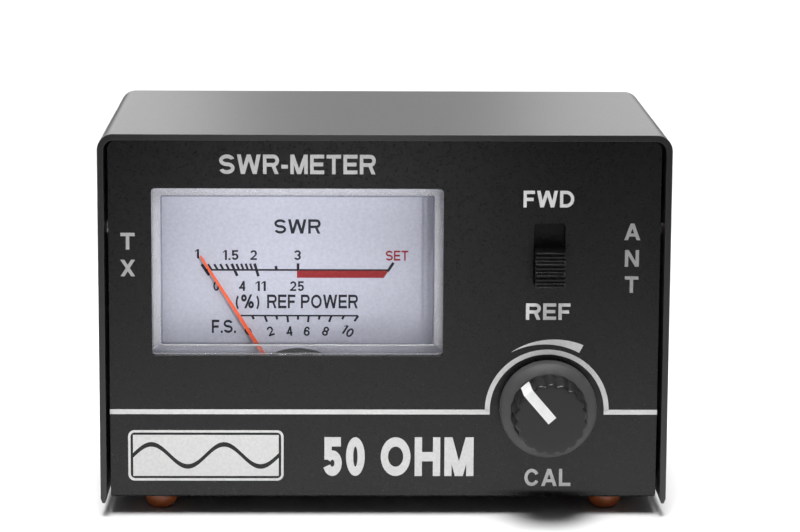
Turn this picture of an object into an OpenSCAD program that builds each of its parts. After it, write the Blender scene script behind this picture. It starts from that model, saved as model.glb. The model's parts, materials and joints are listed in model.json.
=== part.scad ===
// Small SWR meter: a folded steel case with a moving-coil panel meter, a forward/reflected slide
// switch, a calibration potentiometer and two coax sockets on the rear panel.
// Millimetres. Origin under the middle of the object at the feet, +X right, +Y rear, +Z up.
// Inside in_case(), y is the depth behind the cover's front edge and z the height above the
// underside of the chassis.

/* [Case] */
// Outer width of the cover
case_w = 105; // [104:1:120]
// Height of the cover above the underside of the chassis
case_h = 68.5; // [67:0.5:80]
// Depth of the cover, front to back
case_d = 66; // [66:1:80]
// Thickness of the cover's sheet
cover_t = 1.15; // [0.8:0.05:1.2]
// Thickness of the chassis' sheet
chassis_t = 1.2; // [0.8:0.1:1.2]
// Outside radius of the cover's two top bends
cover_r = 3; // [2:0.5:6]
// How far the end panels sit inside the cover's edges
end_inset = 1.5; // [1:0.1:1.5]
// Height of the stick-on feet
foot_h = 3.3; // [2:0.1:6]

/* [Meter] */
// Middle of the meter, across the panel
meter_x = -16; // [-17:0.5:-15]
// Height of the pointer's pivot
pivot_z = 16.1; // [16:0.1:18]
// Width of the panel cut-out for the meter window
window_w = 53.6; // [48:0.2:54]
// Height of the panel cut-out for the meter window
window_h = 31.2; // [28:0.2:32]
// Height of the middle of that cut-out
window_z = 42.7; // [42:0.1:43]
// Length of the pointer from its pivot
pointer_len = 34.1; // [30:0.1:36]
// Rest angle of the pointer, left of upright
pointer_rest = 32.2; // [28:0.1:34]

/* [Controls] */
// Middle of the slide switch and of the knob, across the panel
control_x = 30.3; // [29:0.1:32]
// Height of the middle of the switch slot
switch_z = 46.15; // [44:0.05:48]
// Width of the switch slot
slot_w = 5.8; // [5.4:0.1:6]
// Height of the switch slot
slot_h = 11.7; // [11:0.1:12]
// Travel of the slider from REF up to FWD
slider_travel = 4.5; // [3:0.1:4.5]
// Height of the knob's axis
knob_z = 17.6; // [16:0.1:20]
// Radius of the knob's skirt
skirt_r = 9; // [8.5:0.1:10]
// Radius of the knob's grip at its front face
grip_r = 6.7; // [6.2:0.1:6.8]
// Number of flutes around the grip
flutes = 18; // [12:1:24]
// Angle of the knob's indicator, left of upright
indicator_rest = 40.6; // [0:0.1:90]

/* [Sockets] */
// Distance between the two coax sockets
socket_gap = 52; // [46:1:54]
// Height of the sockets' axes
socket_z = 34; // [32:1:36]
// Outside radius of the socket's threaded barrel
barrel_r = 7.94; // [7.9:0.01:8]
// Length of the barrel in front of its flange
barrel_len = 12.2; // [11:0.1:14]
// Bore radius of the centre contact
contact_bore_r = 2; // [1.95:0.01:2.05]

/* [Hidden] */
$fn = 48;
eps = 0.01; // overshoot of a cut through a face

// Case
bend_r = 1.8;                                   // outside radius of the chassis' bends
edge_gap = 0.65;                                // gap beside the panels, under the cover
top_gap = 0.2;                                  // gap above the panels
plate_w = case_w - 2 * (cover_t + edge_gap);    // width of the front and rear panels
plate_h = case_h - cover_t - top_gap;           // height of those panels
plate_r = cover_r - cover_t - top_gap;          // radius of those panels' top corners
panel_y = end_inset;                            // outer face of the front panel
panel_in = end_inset + chassis_t;               // inner face of the front panel
rear_y = case_d - end_inset;                    // outer face of the rear panel
rear_in = rear_y - chassis_t;                   // inner face of the rear panel
leg_drop = 0.6;                                 // the cover's sides end this far below the floor
leg_chamfer = [0.35, 0.9];                      // taper of the sides' lower edges
tab_len = 11;                                   // cover tabs, bent back from the panels' edges
tab_h = 12;
tab_z = 50;
screw_y = 8.5;                                  // cover screws, from the cover's front and rear edge
screw_r = 1.45;                                 // M3 screws
screw_head_r = 2.7;
screw_len = 6;
foot_r = 3.2;
foot_flat = 0.15;                               // depth of the small flat on a foot's tip
foot_x = 41.7;
foot_y = 8.5;

// Knob and potentiometer
knob_back = panel_y - 0.7;                      // rear face of the skirt
skirt_t = 4.2;
grip_len = 6.4;
grip_base_r = grip_r + 0.5;
knob_front = knob_back - skirt_t - grip_len;    // front face of the knob
knob_hollow_r = 6.6;                            // room for the nut behind the knob
knob_hollow = 3.6;
flute_r = 1.1;
indicator_w = 1.85;
indicator_t = 0.4;
indicator_drop = 5.4;                           // how far the indicator runs down the grip
shaft_r = 3;
bushing_r = 3.5;
bushing_front = knob_back - knob_hollow + 0.6;
run_fit = 0.05;                                 // radial clearance of the running shaft
pot_r = 8;
pot_plate_t = 1.5;
wafer_t = 1;
can_len = 4.6;
wafer_y = panel_in + pot_plate_t;
can_y = wafer_y + wafer_t;
wiper_y = can_y + 0.5;
shaft_end = can_y + 2.6;
pot_tag_z = knob_z - 10.8;

// Slide switch
slider_w = 5.5;
slider_h = 6.6;
slider_proud = 4.3;                             // how far the slider stands out of the panel
slider_z = switch_z - slot_h / 2 + (slot_h - slider_h - slider_travel) / 2 + slider_h / 2;
slot_r = 0.6;                                   // corners of the panel's slot
slider_ridges = 4;
slider_ridge = 0.5;                             // height of each ridge on the slider's face
slider_groove = 0.7;                            // depth of the grooves between them
frame_half_w = 5;
frame_half_h = 11.2;
frame_t = 0.5;
frame_depth = 5.6;
frame_y = panel_in + 0.05;
base_y = frame_y + frame_depth;
base_t = 1.2;
carriage_w = 8.4;
carriage_h = 16.4;                              // long enough to close the slot at both ends
carriage_y = frame_y + frame_t + 0.2;
carriage_t = 2.2;
terminal_pitch = 4;
terminal_x = 2.5;
board_y = 10.6;                                 // control board
board_t = 1.6;

// Meter
meter_w = 59;
meter_h = 57;
meter_z = 4;                                    // lower edge of the meter
window_proud_y = panel_y + 0.25;                // the window sits just behind the panel's face
window_t = 1.4;
window_r = 0.7;                                 // corners of the window and of its cut-out
meter_seam = 4;                                 // where the window's flange meets the case
meter_back = 26;
meter_wall = 1.4;
dial_y = 8.2;
dial_t = 0.5;
dial_hole_r = 11.1;
pointer_y = 6.7;
pointer_t = 0.5;
hub_r = 1.6;
core_r = 5.5;
yoke_in = 8;
yoke_out = 10;
core_y = 10.4;
core_len = 9;
coil_in = 6;
coil_out = 7.5;
coil_half_h = 1.6;
coil_end_t = 0.7;
coil_gap = 0.3;                                 // air between the coil's ends and the core
coil_y = core_y - coil_gap - coil_end_t;
coil_len = core_len + 2 * (coil_gap + coil_end_t);
staff_r = 0.45;
jewel_r = 0.85;
bridge_t = 0.6;
bridge_half_h = 2;
leg_x = 8.3;                                    // the bridges' legs stand on the yoke ring
leg_w = 1.5;
front_bridge_y = 4.9;
rear_bridge_y = core_y + core_len + 3.2;
spring_turns = 3.5;
spring_in = 1;
spring_out = 4.6;
spring_w = 0.25;
spring_h = 0.5;
bracket_w = 20;
bracket_t = 1.2;

// Sockets
flange = 25.4;
flange_t = 2;
flange_hole = 9.1;                              // holes off the socket's axis, across and up
barrel_in = 6.3;
recess = 6.7;                                   // depth of the barrel's open mouth
insulator_r = 4.88;
boss_r = 6;
boss_len = 5;
contact_r = 2.9;
contact_set = 1;                                // the contact ends this far inside the rim
cup_r = 1.9;
contact_back = 12;                              // the solder cup's end, inside the rear panel's face
socket_len = flange_t + barrel_len;
coupler_y = rear_y - contact_back + 1;          // the cups pass through the coupler board
coupler_t = 1.6;
coupler_w = 84;
coupler_h = 30;
foil_t = 0.2;
sense_z = 5.5;
sense_half = 18;
nut_t = 2.4;
nut_r = 3.1;
lug_t = 0.5;

front_y = -(case_d - end_inset + socket_len + knob_front) / 2;
TX = -1;
ANT = 1;

// ---- placing -------------------------------------------------------------------------------

module in_case() {
  translate([0, front_y, foot_h]) children();
}

// A flat shape, drawn as seen from the front, from depth y back over a thickness t.
module upright(y, t) {
  translate([0, y + t, 0]) rotate([90, 0, 0]) linear_extrude(t) children();
}

// Turns +Z to the rear, at a point of the case.
module facing_rear(x, y, z) {
  translate([x, y, z]) rotate([-90, 0, 0]) children();
}

module meter_axis(y) {
  facing_rear(meter_x, y, pivot_z) children();
}

module control_axis(y) {
  facing_rear(control_x, y, knob_z) children();
}

module socket_axis(side) {
  facing_rear(side * socket_gap / 2, rear_y, socket_z) children();
}

// The moving parts of the meter, drawn upright and turned to the pointer's rest.
module at_pointer_rest() {
  translate([meter_x, 0, pivot_z]) rotate([0, -pointer_rest, 0]) children();
}

module at_knob_rest() {
  translate([control_x, 0, knob_z]) rotate([0, -indicator_rest, 0]) children();
}

module box(from, to) {
  translate(from) cube(to - from);
}

// ---- outlines ------------------------------------------------------------------------------

module rounded_bottom_2d(w, h, r) {
  translate([r, 0]) square([w - 2 * r, h]);
  translate([0, r]) square([w, h - r]);
  for (x = [r, w - r]) translate([x, r]) circle(r);
}

module cover_outline_2d(w, h, r) {
  translate([-w / 2, h]) mirror([0, 1]) rounded_bottom_2d(w, h + leg_drop, r);
}

module rounded_square_2d(w, h, r) {
  square([w - 2 * r, h], center = true);
  square([w, h - 2 * r], center = true);
  for (x = [-1, 1], y = [-1, 1]) translate([x * (w / 2 - r), y * (h / 2 - r)]) circle(r);
}

module ring(r_out, r_in, h) {
  difference() {
    cylinder(r = r_out, h = h);
    translate([0, 0, -eps]) cylinder(r = r_in, h = h + 2 * eps);
  }
}

// ---- case ----------------------------------------------------------------------------------

module chassis_side_2d() {
  difference() {
    rounded_bottom_2d(case_d - 2 * end_inset, case_h, bend_r);
    translate([chassis_t, chassis_t])
      rounded_bottom_2d(case_d - 2 * panel_in, case_h, bend_r - chassis_t);
  }
}

module chassis_front_2d() {
  translate([-plate_w / 2, plate_h]) mirror([0, 1]) rounded_bottom_2d(plate_w, plate_h + 1, plate_r);
}

module front_cuts() {
  translate([meter_x, window_z]) rounded_square_2d(window_w, window_h, window_r);
  translate([control_x, switch_z]) rounded_square_2d(slot_w, slot_h, slot_r);
  translate([control_x, knob_z]) circle(bushing_r + 0.1);
}

module rear_cuts() {
  for (side = [TX, ANT]) translate([side * socket_gap / 2, socket_z]) {
    circle(boss_r + 0.2);
    for (x = [-1, 1], y = [-1, 1]) translate([x * flange_hole, y * flange_hole]) circle(screw_r + 0.15);
  }
}

module cover_screw_holes(r) {
  for (y = [screw_y, case_d - screw_y])
    translate([-case_w / 2, y, tab_z]) rotate([0, 90, 0]) cylinder(r = r, h = case_w);
}

module bracket_screw_places() {
  for (x = [-5, 5]) translate([meter_x + x, meter_back + 7, 0]) children();
}

// The chassis is one folded sheet. It is drawn in three stretches, which meet behind the bends.
module folded_sheet() {
  translate([-case_w / 2, end_inset, 0]) rotate([90, 0, 90]) linear_extrude(case_w)
    chassis_side_2d();
}

module sheet_stretch(from_y, to_y) {
  intersection() {
    folded_sheet();
    upright(from_y, to_y - from_y) chassis_front_2d();
  }
}

module front_panel() {
  color("dimgray") in_case() difference() {
    sheet_stretch(0, end_inset + bend_r);
    upright(panel_y - 1, chassis_t + 2) front_cuts();
  }
}

module rear_panel() {
  color("dimgray") in_case() difference() {
    sheet_stretch(rear_y - bend_r, case_d);
    upright(rear_in - 1, chassis_t + 2) rear_cuts();
  }
}

module floor_pan() {
  color("dimgray") in_case() difference() {
    sheet_stretch(end_inset + bend_r, rear_y - bend_r);
    bracket_screw_places() translate([0, 0, -1]) cylinder(r = screw_r + 0.15, h = chassis_t + 2);
  }
}

// Four tabs on the edges of the front and rear panels, tapped for the cover's screws.
module cover_tabs() {
  color("dimgray") in_case() difference() {
    for (side = [-1, 1], y = [panel_in, rear_in - tab_len])
      translate([side * (plate_w - chassis_t) / 2, y + tab_len / 2, tab_z])
        cube([chassis_t, tab_len, tab_h], center = true);
    cover_screw_holes(screw_r + run_fit);
  }
}

module cover_leg_taper_2d() {
  for (side = [-1, 1], face = [0, 1]) {
    x = case_w / 2 - face * cover_t;
    out = face == 0 ? 1 : -1;
    polygon([
      [side * (x + out * eps), -leg_drop - eps],
      [side * (x + out * eps), -leg_drop + leg_chamfer[1]],
      [side * (x - out * leg_chamfer[0]), -leg_drop - eps]
    ]);
  }
}

module cover() {
  color("black") in_case() difference() {
    upright(0, case_d) difference() {
      cover_outline_2d(case_w, case_h, cover_r);
      translate([0, -eps]) cover_outline_2d(case_w - 2 * cover_t, case_h - cover_t, cover_r - cover_t);
      cover_leg_taper_2d();
    }
    cover_screw_places() cylinder(r1 = screw_head_r + 0.05, r2 = screw_r + 0.1, h = cover_t + eps);
  }
}

// Cover screws: +Z points into the case from the cover's outer face.
module cover_screw_places() {
  for (side = [-1, 1], y = [screw_y, case_d - screw_y])
    translate([side * case_w / 2, y, tab_z]) rotate([0, -90 * side, 0]) children();
}

module cover_screws() {
  color("silver") in_case() cover_screw_places() difference() {
    union() {
      cylinder(r1 = screw_head_r, r2 = screw_r, h = cover_t);
      cylinder(r = screw_r, h = screw_len);
    }
    for (a = [0, 90]) rotate([0, 0, a]) translate([0, 0, 0.35]) cube([2.6, 0.5, 0.9], center = true);
  }
}

// A dome with a small flat at its tip.
module foot(side, y) {
  ball_r = (foot_r * foot_r + foot_h * foot_h) / (2 * foot_h);
  color("saddlebrown") translate([side * foot_x, front_y + y, 0]) intersection() {
    translate([0, 0, ball_r - foot_flat]) sphere(ball_r);
    cylinder(r = foot_r + 1, h = foot_h);
  }
}

module foot_front_left() { foot(-1, foot_y); }
module foot_front_right() { foot(1, foot_y); }
module foot_rear_left() { foot(-1, case_d - foot_y); }
module foot_rear_right() { foot(1, case_d - foot_y); }

// ---- coax sockets --------------------------------------------------------------------------

module flange_screw_places(side) {
  socket_axis(side) for (x = [-1, 1], y = [-1, 1])
    translate([x * flange_hole, y * flange_hole, 0]) children();
}

module socket_shell(side) {
  color("silver") in_case() socket_axis(side) difference() {
    union() {
      linear_extrude(flange_t) rounded_square_2d(flange, flange, 1.5);
      cylinder(r = barrel_r, h = socket_len);
      translate([0, 0, -boss_len]) cylinder(r = boss_r, h = boss_len + eps);
    }
    translate([0, 0, -boss_len - 1]) cylinder(r = insulator_r + 0.02, h = boss_len + socket_len);
    translate([0, 0, socket_len - recess]) cylinder(r = barrel_in, h = recess + 1);
    for (a = [0, 90]) rotate([0, 0, a])
      translate([0, 0, socket_len]) cube([2 * barrel_r + 2, 1.4, 1.6], center = true);
    for (x = [-1, 1], y = [-1, 1]) translate([x * flange_hole, y * flange_hole, -1])
      cylinder(r = screw_r + 0.15, h = flange_t + 2);
  }
}

module socket_insulator(side) {
  collar_z = socket_len - recess;
  color("ivory") in_case() socket_axis(side) difference() {
    union() {
      translate([0, 0, -boss_len - 2]) cylinder(r = insulator_r, h = boss_len + 2 + collar_z);
      translate([0, 0, collar_z]) cylinder(r = barrel_in - 0.02, h = 1.2);
    }
    translate([0, 0, -boss_len - 3]) cylinder(r = contact_r + 0.02, h = socket_len + boss_len);
  }
}

module centre_contact(side) {
  tip = socket_len - contact_set;
  color("gold") in_case() socket_axis(side) difference() {
    union() {
      translate([0, 0, -boss_len - 2]) cylinder(r = contact_r, h = tip + boss_len + 2);
      translate([0, 0, -contact_back]) cylinder(r = cup_r, h = contact_back - boss_len);
    }
    cylinder(r = contact_bore_r, h = tip + 1);
    translate([0, 0, -contact_back - 1]) cylinder(r = 1.1, h = 5);
    for (a = [45, 135]) rotate([0, 0, a])
      translate([0, 0, tip]) cube([2 * contact_r + 1, 0.5, 8], center = true);
  }
}

module tx_socket_shell() { socket_shell(TX); }
module tx_socket_insulator() { socket_insulator(TX); }
module tx_centre_contact() { centre_contact(TX); }
module ant_socket_shell() { socket_shell(ANT); }
module ant_socket_insulator() { socket_insulator(ANT); }
module ant_centre_contact() { centre_contact(ANT); }

module socket_screws() {
  head_t = 1.8;
  color("silver") in_case() for (side = [TX, ANT]) flange_screw_places(side) difference() {
    union() {
      translate([0, 0, flange_t]) cylinder(r = screw_head_r, h = head_t);
      translate([0, 0, -6]) cylinder(r = screw_r, h = 6 + flange_t + eps);
    }
    for (a = [0, 90]) rotate([0, 0, a])
      translate([0, 0, flange_t + head_t]) cube([3, 0.6, 1.6], center = true);
  }
}

// The lug sits under the nut at each socket's upper inner screw.
function has_lug(side, x, y) = x == -side && y == -1;

module socket_nuts() {
  color("silver") in_case() for (side = [TX, ANT]) socket_axis(side)
    for (x = [-1, 1], y = [-1, 1]) {
      under = has_lug(side, x, y) ? lug_t : 0;
      translate([x * flange_hole, y * flange_hole, -chassis_t - under - nut_t]) difference() {
        cylinder(r = nut_r, h = nut_t, $fn = 6);
        translate([0, 0, -1]) cylinder(r = screw_r + 0.02, h = nut_t + 2);
      }
    }
}

module ground_lugs() {
  leg = rear_in - coupler_y - coupler_t;
  color("gold") in_case() for (side = [TX, ANT]) socket_axis(side)
    translate([-side * flange_hole, -flange_hole, -chassis_t - lug_t]) difference() {
      union() {
        cylinder(r = 3, h = lug_t);
        box([-1.75, -5, 0], [1.75, 0, lug_t]);
        box([-1.75, -5, lug_t - leg], [1.75, -4.5, lug_t]);
      }
      translate([0, 0, -1]) cylinder(r = screw_r + 0.1, h = lug_t + 2);
    }
}

// ---- coupler board -------------------------------------------------------------------------

module on_coupler_board(x, z) {
  translate([x, coupler_y, socket_z + z]) children();
}

module cup_holes_2d() {
  for (side = [TX, ANT]) translate([side * socket_gap / 2, socket_z]) circle(cup_r + 0.1);
}

module coupler_board() {
  color("darkgreen") in_case() upright(coupler_y, coupler_t) difference() {
    translate([0, socket_z]) square([coupler_w, coupler_h], center = true);
    cup_holes_2d();
  }
}

module through_line() {
  color("peru") in_case() upright(coupler_y - foil_t, foil_t) difference() {
    translate([0, socket_z]) square([socket_gap + 8, 5.5], center = true);
    cup_holes_2d();
  }
}

module sense_lines() {
  color("peru") in_case() upright(coupler_y - foil_t, foil_t)
    for (side = [-1, 1]) translate([0, socket_z + side * sense_z])
      square([2 * sense_half, 2], center = true);
}

// An axial part with bent leads, standing off the board's front face and lying along z.
module axial_part(r, len, span) {
  lead_r = 0.3;
  standoff = r + 0.6;
  translate([0, -standoff, -len / 2]) cylinder(r = r, h = len);
  translate([0, -standoff, -span / 2]) cylinder(r = lead_r, h = span);
  for (end = [-1, 1]) translate([0, -standoff, end * (span / 2 - lead_r)])
    rotate([-90, 0, 0]) cylinder(r = lead_r, h = standoff);
}

module load_resistors() {
  color("burlywood") in_case() for (side = [-1, 1])
    on_coupler_board(side * (sense_half + 1.5), side * (sense_z + 3.5)) axial_part(1.2, 6, 9);
}

module detector_diodes() {
  color("orangered") in_case() for (side = [-1, 1])
    on_coupler_board(-side * (sense_half + 1.5), side * (sense_z + 3.5)) axial_part(0.9, 4, 8);
}

module filter_capacitors() {
  color("orange") in_case() for (side = [-1, 1]) on_coupler_board(-side * sense_half * 0.6, side * 11) {
    translate([0, -3.6, 0]) rotate([0, 90, 0]) translate([0, 0, -1]) cylinder(r = 2.4, h = 2);
    for (z = [-1.25, 1.25]) translate([0, -3.6, z]) rotate([-90, 0, 0]) cylinder(r = 0.3, h = 3.6);
  }
}

// ---- control board and slide switch --------------------------------------------------------

module control_board() {
  color("darkgreen") in_case() difference() {
    box([control_x - 9.5, board_y, 3.6], [control_x + 9.5, board_y + board_t, switch_z + 13]);
    switch_pins() cylinder(r = 0.6, h = 3);
    pot_pins() cylinder(r = 0.8, h = 3);
  }
}

module switch_pins() {
  for (x = [-1, 1], z = [-1, 0, 1])
    facing_rear(control_x + x * terminal_x, board_y - 0.5, switch_z + z * terminal_pitch) children();
}

module pot_pins() {
  for (x = [-1, 0, 1]) facing_rear(control_x + 5 * x, board_y - 0.5, pot_tag_z + 0.3) children();
}

module switch_frame() {
  color("silver") in_case() difference() {
    box([control_x - frame_half_w, frame_y, switch_z - frame_half_h],
        [control_x + frame_half_w, frame_y + frame_depth, switch_z + frame_half_h]);
    box([control_x - frame_half_w + frame_t, frame_y + frame_t, switch_z - frame_half_h + frame_t],
        [control_x + frame_half_w - frame_t, frame_y + frame_depth + 1,
         switch_z + frame_half_h - frame_t]);
    box([control_x - slot_w / 2 - 0.1, frame_y - 1, switch_z - slot_h / 2 - 0.1],
        [control_x + slot_w / 2 + 0.1, frame_y + 1, switch_z + slot_h / 2 + 0.1]);
  }
}

module switch_base() {
  color("sienna") in_case() difference() {
    box([control_x - frame_half_w, base_y, switch_z - frame_half_h],
        [control_x + frame_half_w, base_y + base_t, switch_z + frame_half_h]);
    for (x = [-1, 1], z = [-1, 0, 1])
      facing_rear(control_x + x * terminal_x, base_y - 0.5, switch_z + z * terminal_pitch)
        cylinder(r = 0.55, h = 3);
  }
}

module switch_terminals() {
  color("gold") in_case() for (x = [-1, 1], z = [-1, 0, 1])
    facing_rear(control_x + x * terminal_x, 0, switch_z + z * terminal_pitch) {
      translate([0, 0, base_y - 0.4]) cylinder(r = 1.1, h = 0.4);
      translate([0, 0, base_y - 0.2]) cylinder(r = 0.5, h = board_y + board_t + 1 - base_y);
    }
}

module switch_slider() {
  front = panel_y - slider_proud;
  pitch = (slider_h - slider_ridge) / (slider_ridges - 1);
  color("black") in_case() translate([control_x, 0, slider_z]) {
    difference() {
      box([-slider_w / 2, front, -slider_h / 2], [slider_w / 2, carriage_y + eps, slider_h / 2]);
      for (i = [0 : slider_ridges - 2])
        box([-slider_w / 2 - 1, front - 1, -slider_h / 2 + slider_ridge + i * pitch],
            [slider_w / 2 + 1, front + slider_groove, -slider_h / 2 + (i + 1) * pitch]);
    }
    box([-carriage_w / 2, carriage_y, -carriage_h / 2],
        [carriage_w / 2, carriage_y + carriage_t, carriage_h / 2]);
  }
}

module switch_contacts() {
  y = carriage_y + carriage_t;
  color("gold") in_case() for (x = [-1, 1]) translate([control_x + x * terminal_x, 0, slider_z]) {
    box([-0.8, y, -3], [0.8, y + 0.4, 3]);
    for (z = [-terminal_pitch / 2, terminal_pitch / 2])
      translate([0, y + 0.4, z]) rotate([-90, 0, 0]) cylinder(r = 0.8, h = base_y - 0.5 - y - 0.4);
  }
}

// ---- potentiometer and knob ----------------------------------------------------------------

module pot_bushing() {
  color("silver") in_case() difference() {
    union() {
      control_axis(panel_in) cylinder(r = pot_r, h = pot_plate_t);
      control_axis(bushing_front) cylinder(r = bushing_r, h = wafer_y - bushing_front);
    }
    control_axis(bushing_front - 1) cylinder(r = shaft_r + run_fit, h = wafer_y - bushing_front + 2);
  }
}

module pot_washer() {
  color("silver") in_case() control_axis(panel_y - 0.5) ring(6.2, bushing_r + 0.05, 0.5);
}

module pot_nut() {
  color("silver") in_case() control_axis(panel_y - 2.5) difference() {
    cylinder(r = 5.77, h = 2, $fn = 6);
    translate([0, 0, -1]) cylinder(r = bushing_r + 0.02, h = 4);
  }
}

module pot_wafer() {
  color("peru") in_case() difference() {
    union() {
      control_axis(wafer_y) cylinder(r = pot_r, h = wafer_t);
      box([control_x - 7, wafer_y, pot_tag_z - 0.2], [control_x + 7, can_y, knob_z - 4]);
    }
    control_axis(wafer_y - 1) cylinder(r = shaft_r + 0.3, h = wafer_t + 2);
  }
}

module pot_can() {
  color("lightgray") in_case() control_axis(can_y) difference() {
    cylinder(r = pot_r, h = can_len);
    translate([0, 0, -eps]) cylinder(r = pot_r - 0.5, h = can_len - 0.5);
  }
}

module pot_terminals() {
  color("gold") in_case() for (x = [-5, 0, 5]) translate([control_x + x, 0, pot_tag_z]) {
    box([-0.6, can_y, 0], [0.6, can_y + 0.5, 2.6]);
    box([-0.5, can_y, 0], [0.5, board_y + board_t + 0.8, 0.6]);
  }
}

module pot_shaft() {
  front = knob_front + 2.6;
  color("white") in_case() at_knob_rest() difference() {
    facing_rear(0, front, 0) cylinder(r = shaft_r, h = shaft_end - front);
    box([-4, front - 1, -4], [4, knob_back - knob_hollow + 0.3, -shaft_r * 0.5]);
  }
}

module pot_wiper() {
  color("gold") in_case() at_knob_rest() {
    difference() {
      facing_rear(0, wiper_y, 0) ring(4.4, shaft_r, 0.8);
      box([-4.5, wiper_y - 1, -5], [4.5, wiper_y + 2, -shaft_r - 0.2]);
    }
    box([-0.8, wiper_y, 4], [0.8, wiper_y + 0.4, 6.9]);
    translate([0, wiper_y - 0.4, 6.1]) rotate([-90, 0, 0]) cylinder(r = 0.6, h = 0.5);
  }
}

// The outline of skirt and grip, from the axis outwards; y runs forward from the skirt's back.
module knob_profile_2d() {
  front = skirt_t + grip_len;
  edge = 0.3;
  cone = 1.4;
  difference() {
    union() {
      square([skirt_r, skirt_t - cone]);
      polygon([
        [0, skirt_t - cone], [skirt_r, skirt_t - cone], [grip_base_r + 0.2, skirt_t],
        [grip_base_r, skirt_t], [grip_r + 0.05, front - edge], [grip_r - edge, front], [0, front]
      ]);
    }
    translate([-1, -1]) square([knob_hollow_r + 1, knob_hollow + 1]);
    translate([-1, -1]) square([shaft_r + 0.01 + 1, front - 2.6 + 1 + 0.1]);
  }
}

module knob_flutes() {
  lean = atan((grip_base_r - grip_r) / grip_len);
  for (i = [0 : flutes - 1]) rotate([0, 0, (i + 0.5) * 360 / flutes])
    translate([grip_base_r + flute_r * 0.55, 0, skirt_t]) rotate([0, -lean, 0])
      cylinder(r = flute_r, h = grip_len + 2);
}

module indicator_shape() {
  box([-indicator_w / 2, knob_front, -0.4], [indicator_w / 2, knob_front + indicator_t, grip_r]);
  intersection() {
    box([-indicator_w / 2, knob_front, grip_r - 0.7],
        [indicator_w / 2, knob_front + indicator_drop, grip_r + 1]);
    facing_rear(0, knob_front, 0) cylinder(r1 = grip_r, r2 = grip_base_r, h = grip_len);
  }
}

module knob_body() {
  color("dimgray") in_case() difference() {
    union() {
      control_axis(knob_back) mirror([0, 0, 1]) difference() {
        rotate_extrude() knob_profile_2d();
        rotate([0, 0, indicator_rest]) knob_flutes();
      }
      at_knob_rest()
        box([-2.6, knob_front + 2.7, -2.6], [2.6, knob_back - knob_hollow, -shaft_r / 2 - 0.02]);
    }
    at_knob_rest() indicator_shape();
  }
}

module knob_indicator() {
  color("white") in_case() at_knob_rest() indicator_shape();
}

// ---- meter ---------------------------------------------------------------------------------

module meter_outline_2d() {
  translate([meter_x - meter_w / 2, meter_z]) square([meter_w, meter_h]);
}

module meter_inside_2d() {
  translate([meter_x - meter_w / 2 + meter_wall, meter_z + meter_wall])
    square([meter_w - 2 * meter_wall, meter_h - 2 * meter_wall]);
}

module meter_window() {
  play = 0.25;
  color("aliceblue", 0.4) in_case() difference() {
    union() {
      upright(panel_in, meter_seam - panel_in) meter_outline_2d();
      upright(window_proud_y, panel_in - window_proud_y + eps)
        translate([meter_x, window_z])
          rounded_square_2d(window_w - play, window_h - play, window_r);
    }
    upright(window_proud_y + window_t, meter_seam) translate([meter_x, window_z])
      square([window_w - play - 2 * window_t, window_h - play - 2 * window_t], center = true);
  }
}

module meter_terminal_places() {
  for (x = [-18, 18]) facing_rear(meter_x + x, meter_back - meter_wall, 25) children();
}

module meter_case() {
  post = 4;
  color("whitesmoke") in_case() difference() {
    union() {
      upright(meter_seam, meter_back - meter_seam) difference() {
        meter_outline_2d();
        meter_inside_2d();
      }
      upright(meter_back - meter_wall, meter_wall) meter_outline_2d();
      upright(dial_y + dial_t, meter_back - dial_y - dial_t) intersection() {
        meter_inside_2d();
        dial_posts_2d(post);
      }
      yoke_seats();
    }
    meter_terminal_places() translate([0, 0, -1]) cylinder(r = 1.6, h = meter_wall + 2);
    dial_screw_places() cylinder(r = 0.95, h = 6);
  }
}

// Two blocks on the back wall that carry the movement, above and below the rear bridge.
module yoke_seats() {
  for (side = [-1, 1]) translate([meter_x, 0, pivot_z + side * 8.9])
    box([-3, core_y + core_len, -1], [3, meter_back - meter_wall + eps, 1]);
}

module dial_posts_2d(size) {
  for (x = [-1, 1], z = [0, 1])
    translate([meter_x + x * (meter_w / 2 - meter_wall - size / 2),
               meter_z + meter_wall + size / 2 + z * (meter_h - 2 * meter_wall - size)])
      square(size + eps, center = true);
}

module dial_plate() {
  play = 0.2;
  color("lavender") in_case() upright(dial_y, dial_t) difference() {
    translate([meter_x - meter_w / 2 + meter_wall + play, meter_z + meter_wall + play])
      square([meter_w - 2 * (meter_wall + play), meter_h - 2 * (meter_wall + play)]);
    translate([meter_x, pivot_z]) circle(dial_hole_r);
    for (x = [-1, 1]) translate([meter_x + x * (meter_w / 2 - 3.4), meter_z + 3.4]) circle(1);
  }
}

module dial_screw_places() {
  for (x = [-1, 1]) facing_rear(meter_x + x * (meter_w / 2 - 3.4), dial_y, meter_z + 3.4) children();
}

module dial_screws() {
  color("silver") in_case() dial_screw_places() {
    translate([0, 0, -0.9]) cylinder(r = 1.6, h = 0.9);
    cylinder(r = 0.9, h = 5);
  }
}

module meter_terminals() {
  color("gold") in_case() meter_terminal_places() {
    translate([0, 0, -1.5]) cylinder(r = 2.6, h = 1.5);
    cylinder(r = 1.5, h = meter_wall + 6);
    translate([0, 0, meter_wall]) cylinder(r = 2.8, h = 2, $fn = 6);
  }
}

module yoke_ring() {
  color("gray") in_case() meter_axis(core_y) ring(yoke_out, yoke_in, core_len);
}

module core_magnet() {
  color("slategray") in_case() meter_axis(core_y) cylinder(r = core_r, h = core_len);
}

module core_holder() {
  half_w = 2.4;
  color("peru") in_case() meter_axis(core_y + 1) for (side = [-1, 1]) intersection() {
    ring(yoke_in, core_r, core_len - 2);
    translate([0, side * yoke_in, core_len / 2])
      cube([2 * half_w, 2 * yoke_in - 2, core_len], center = true);
  }
}

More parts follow.
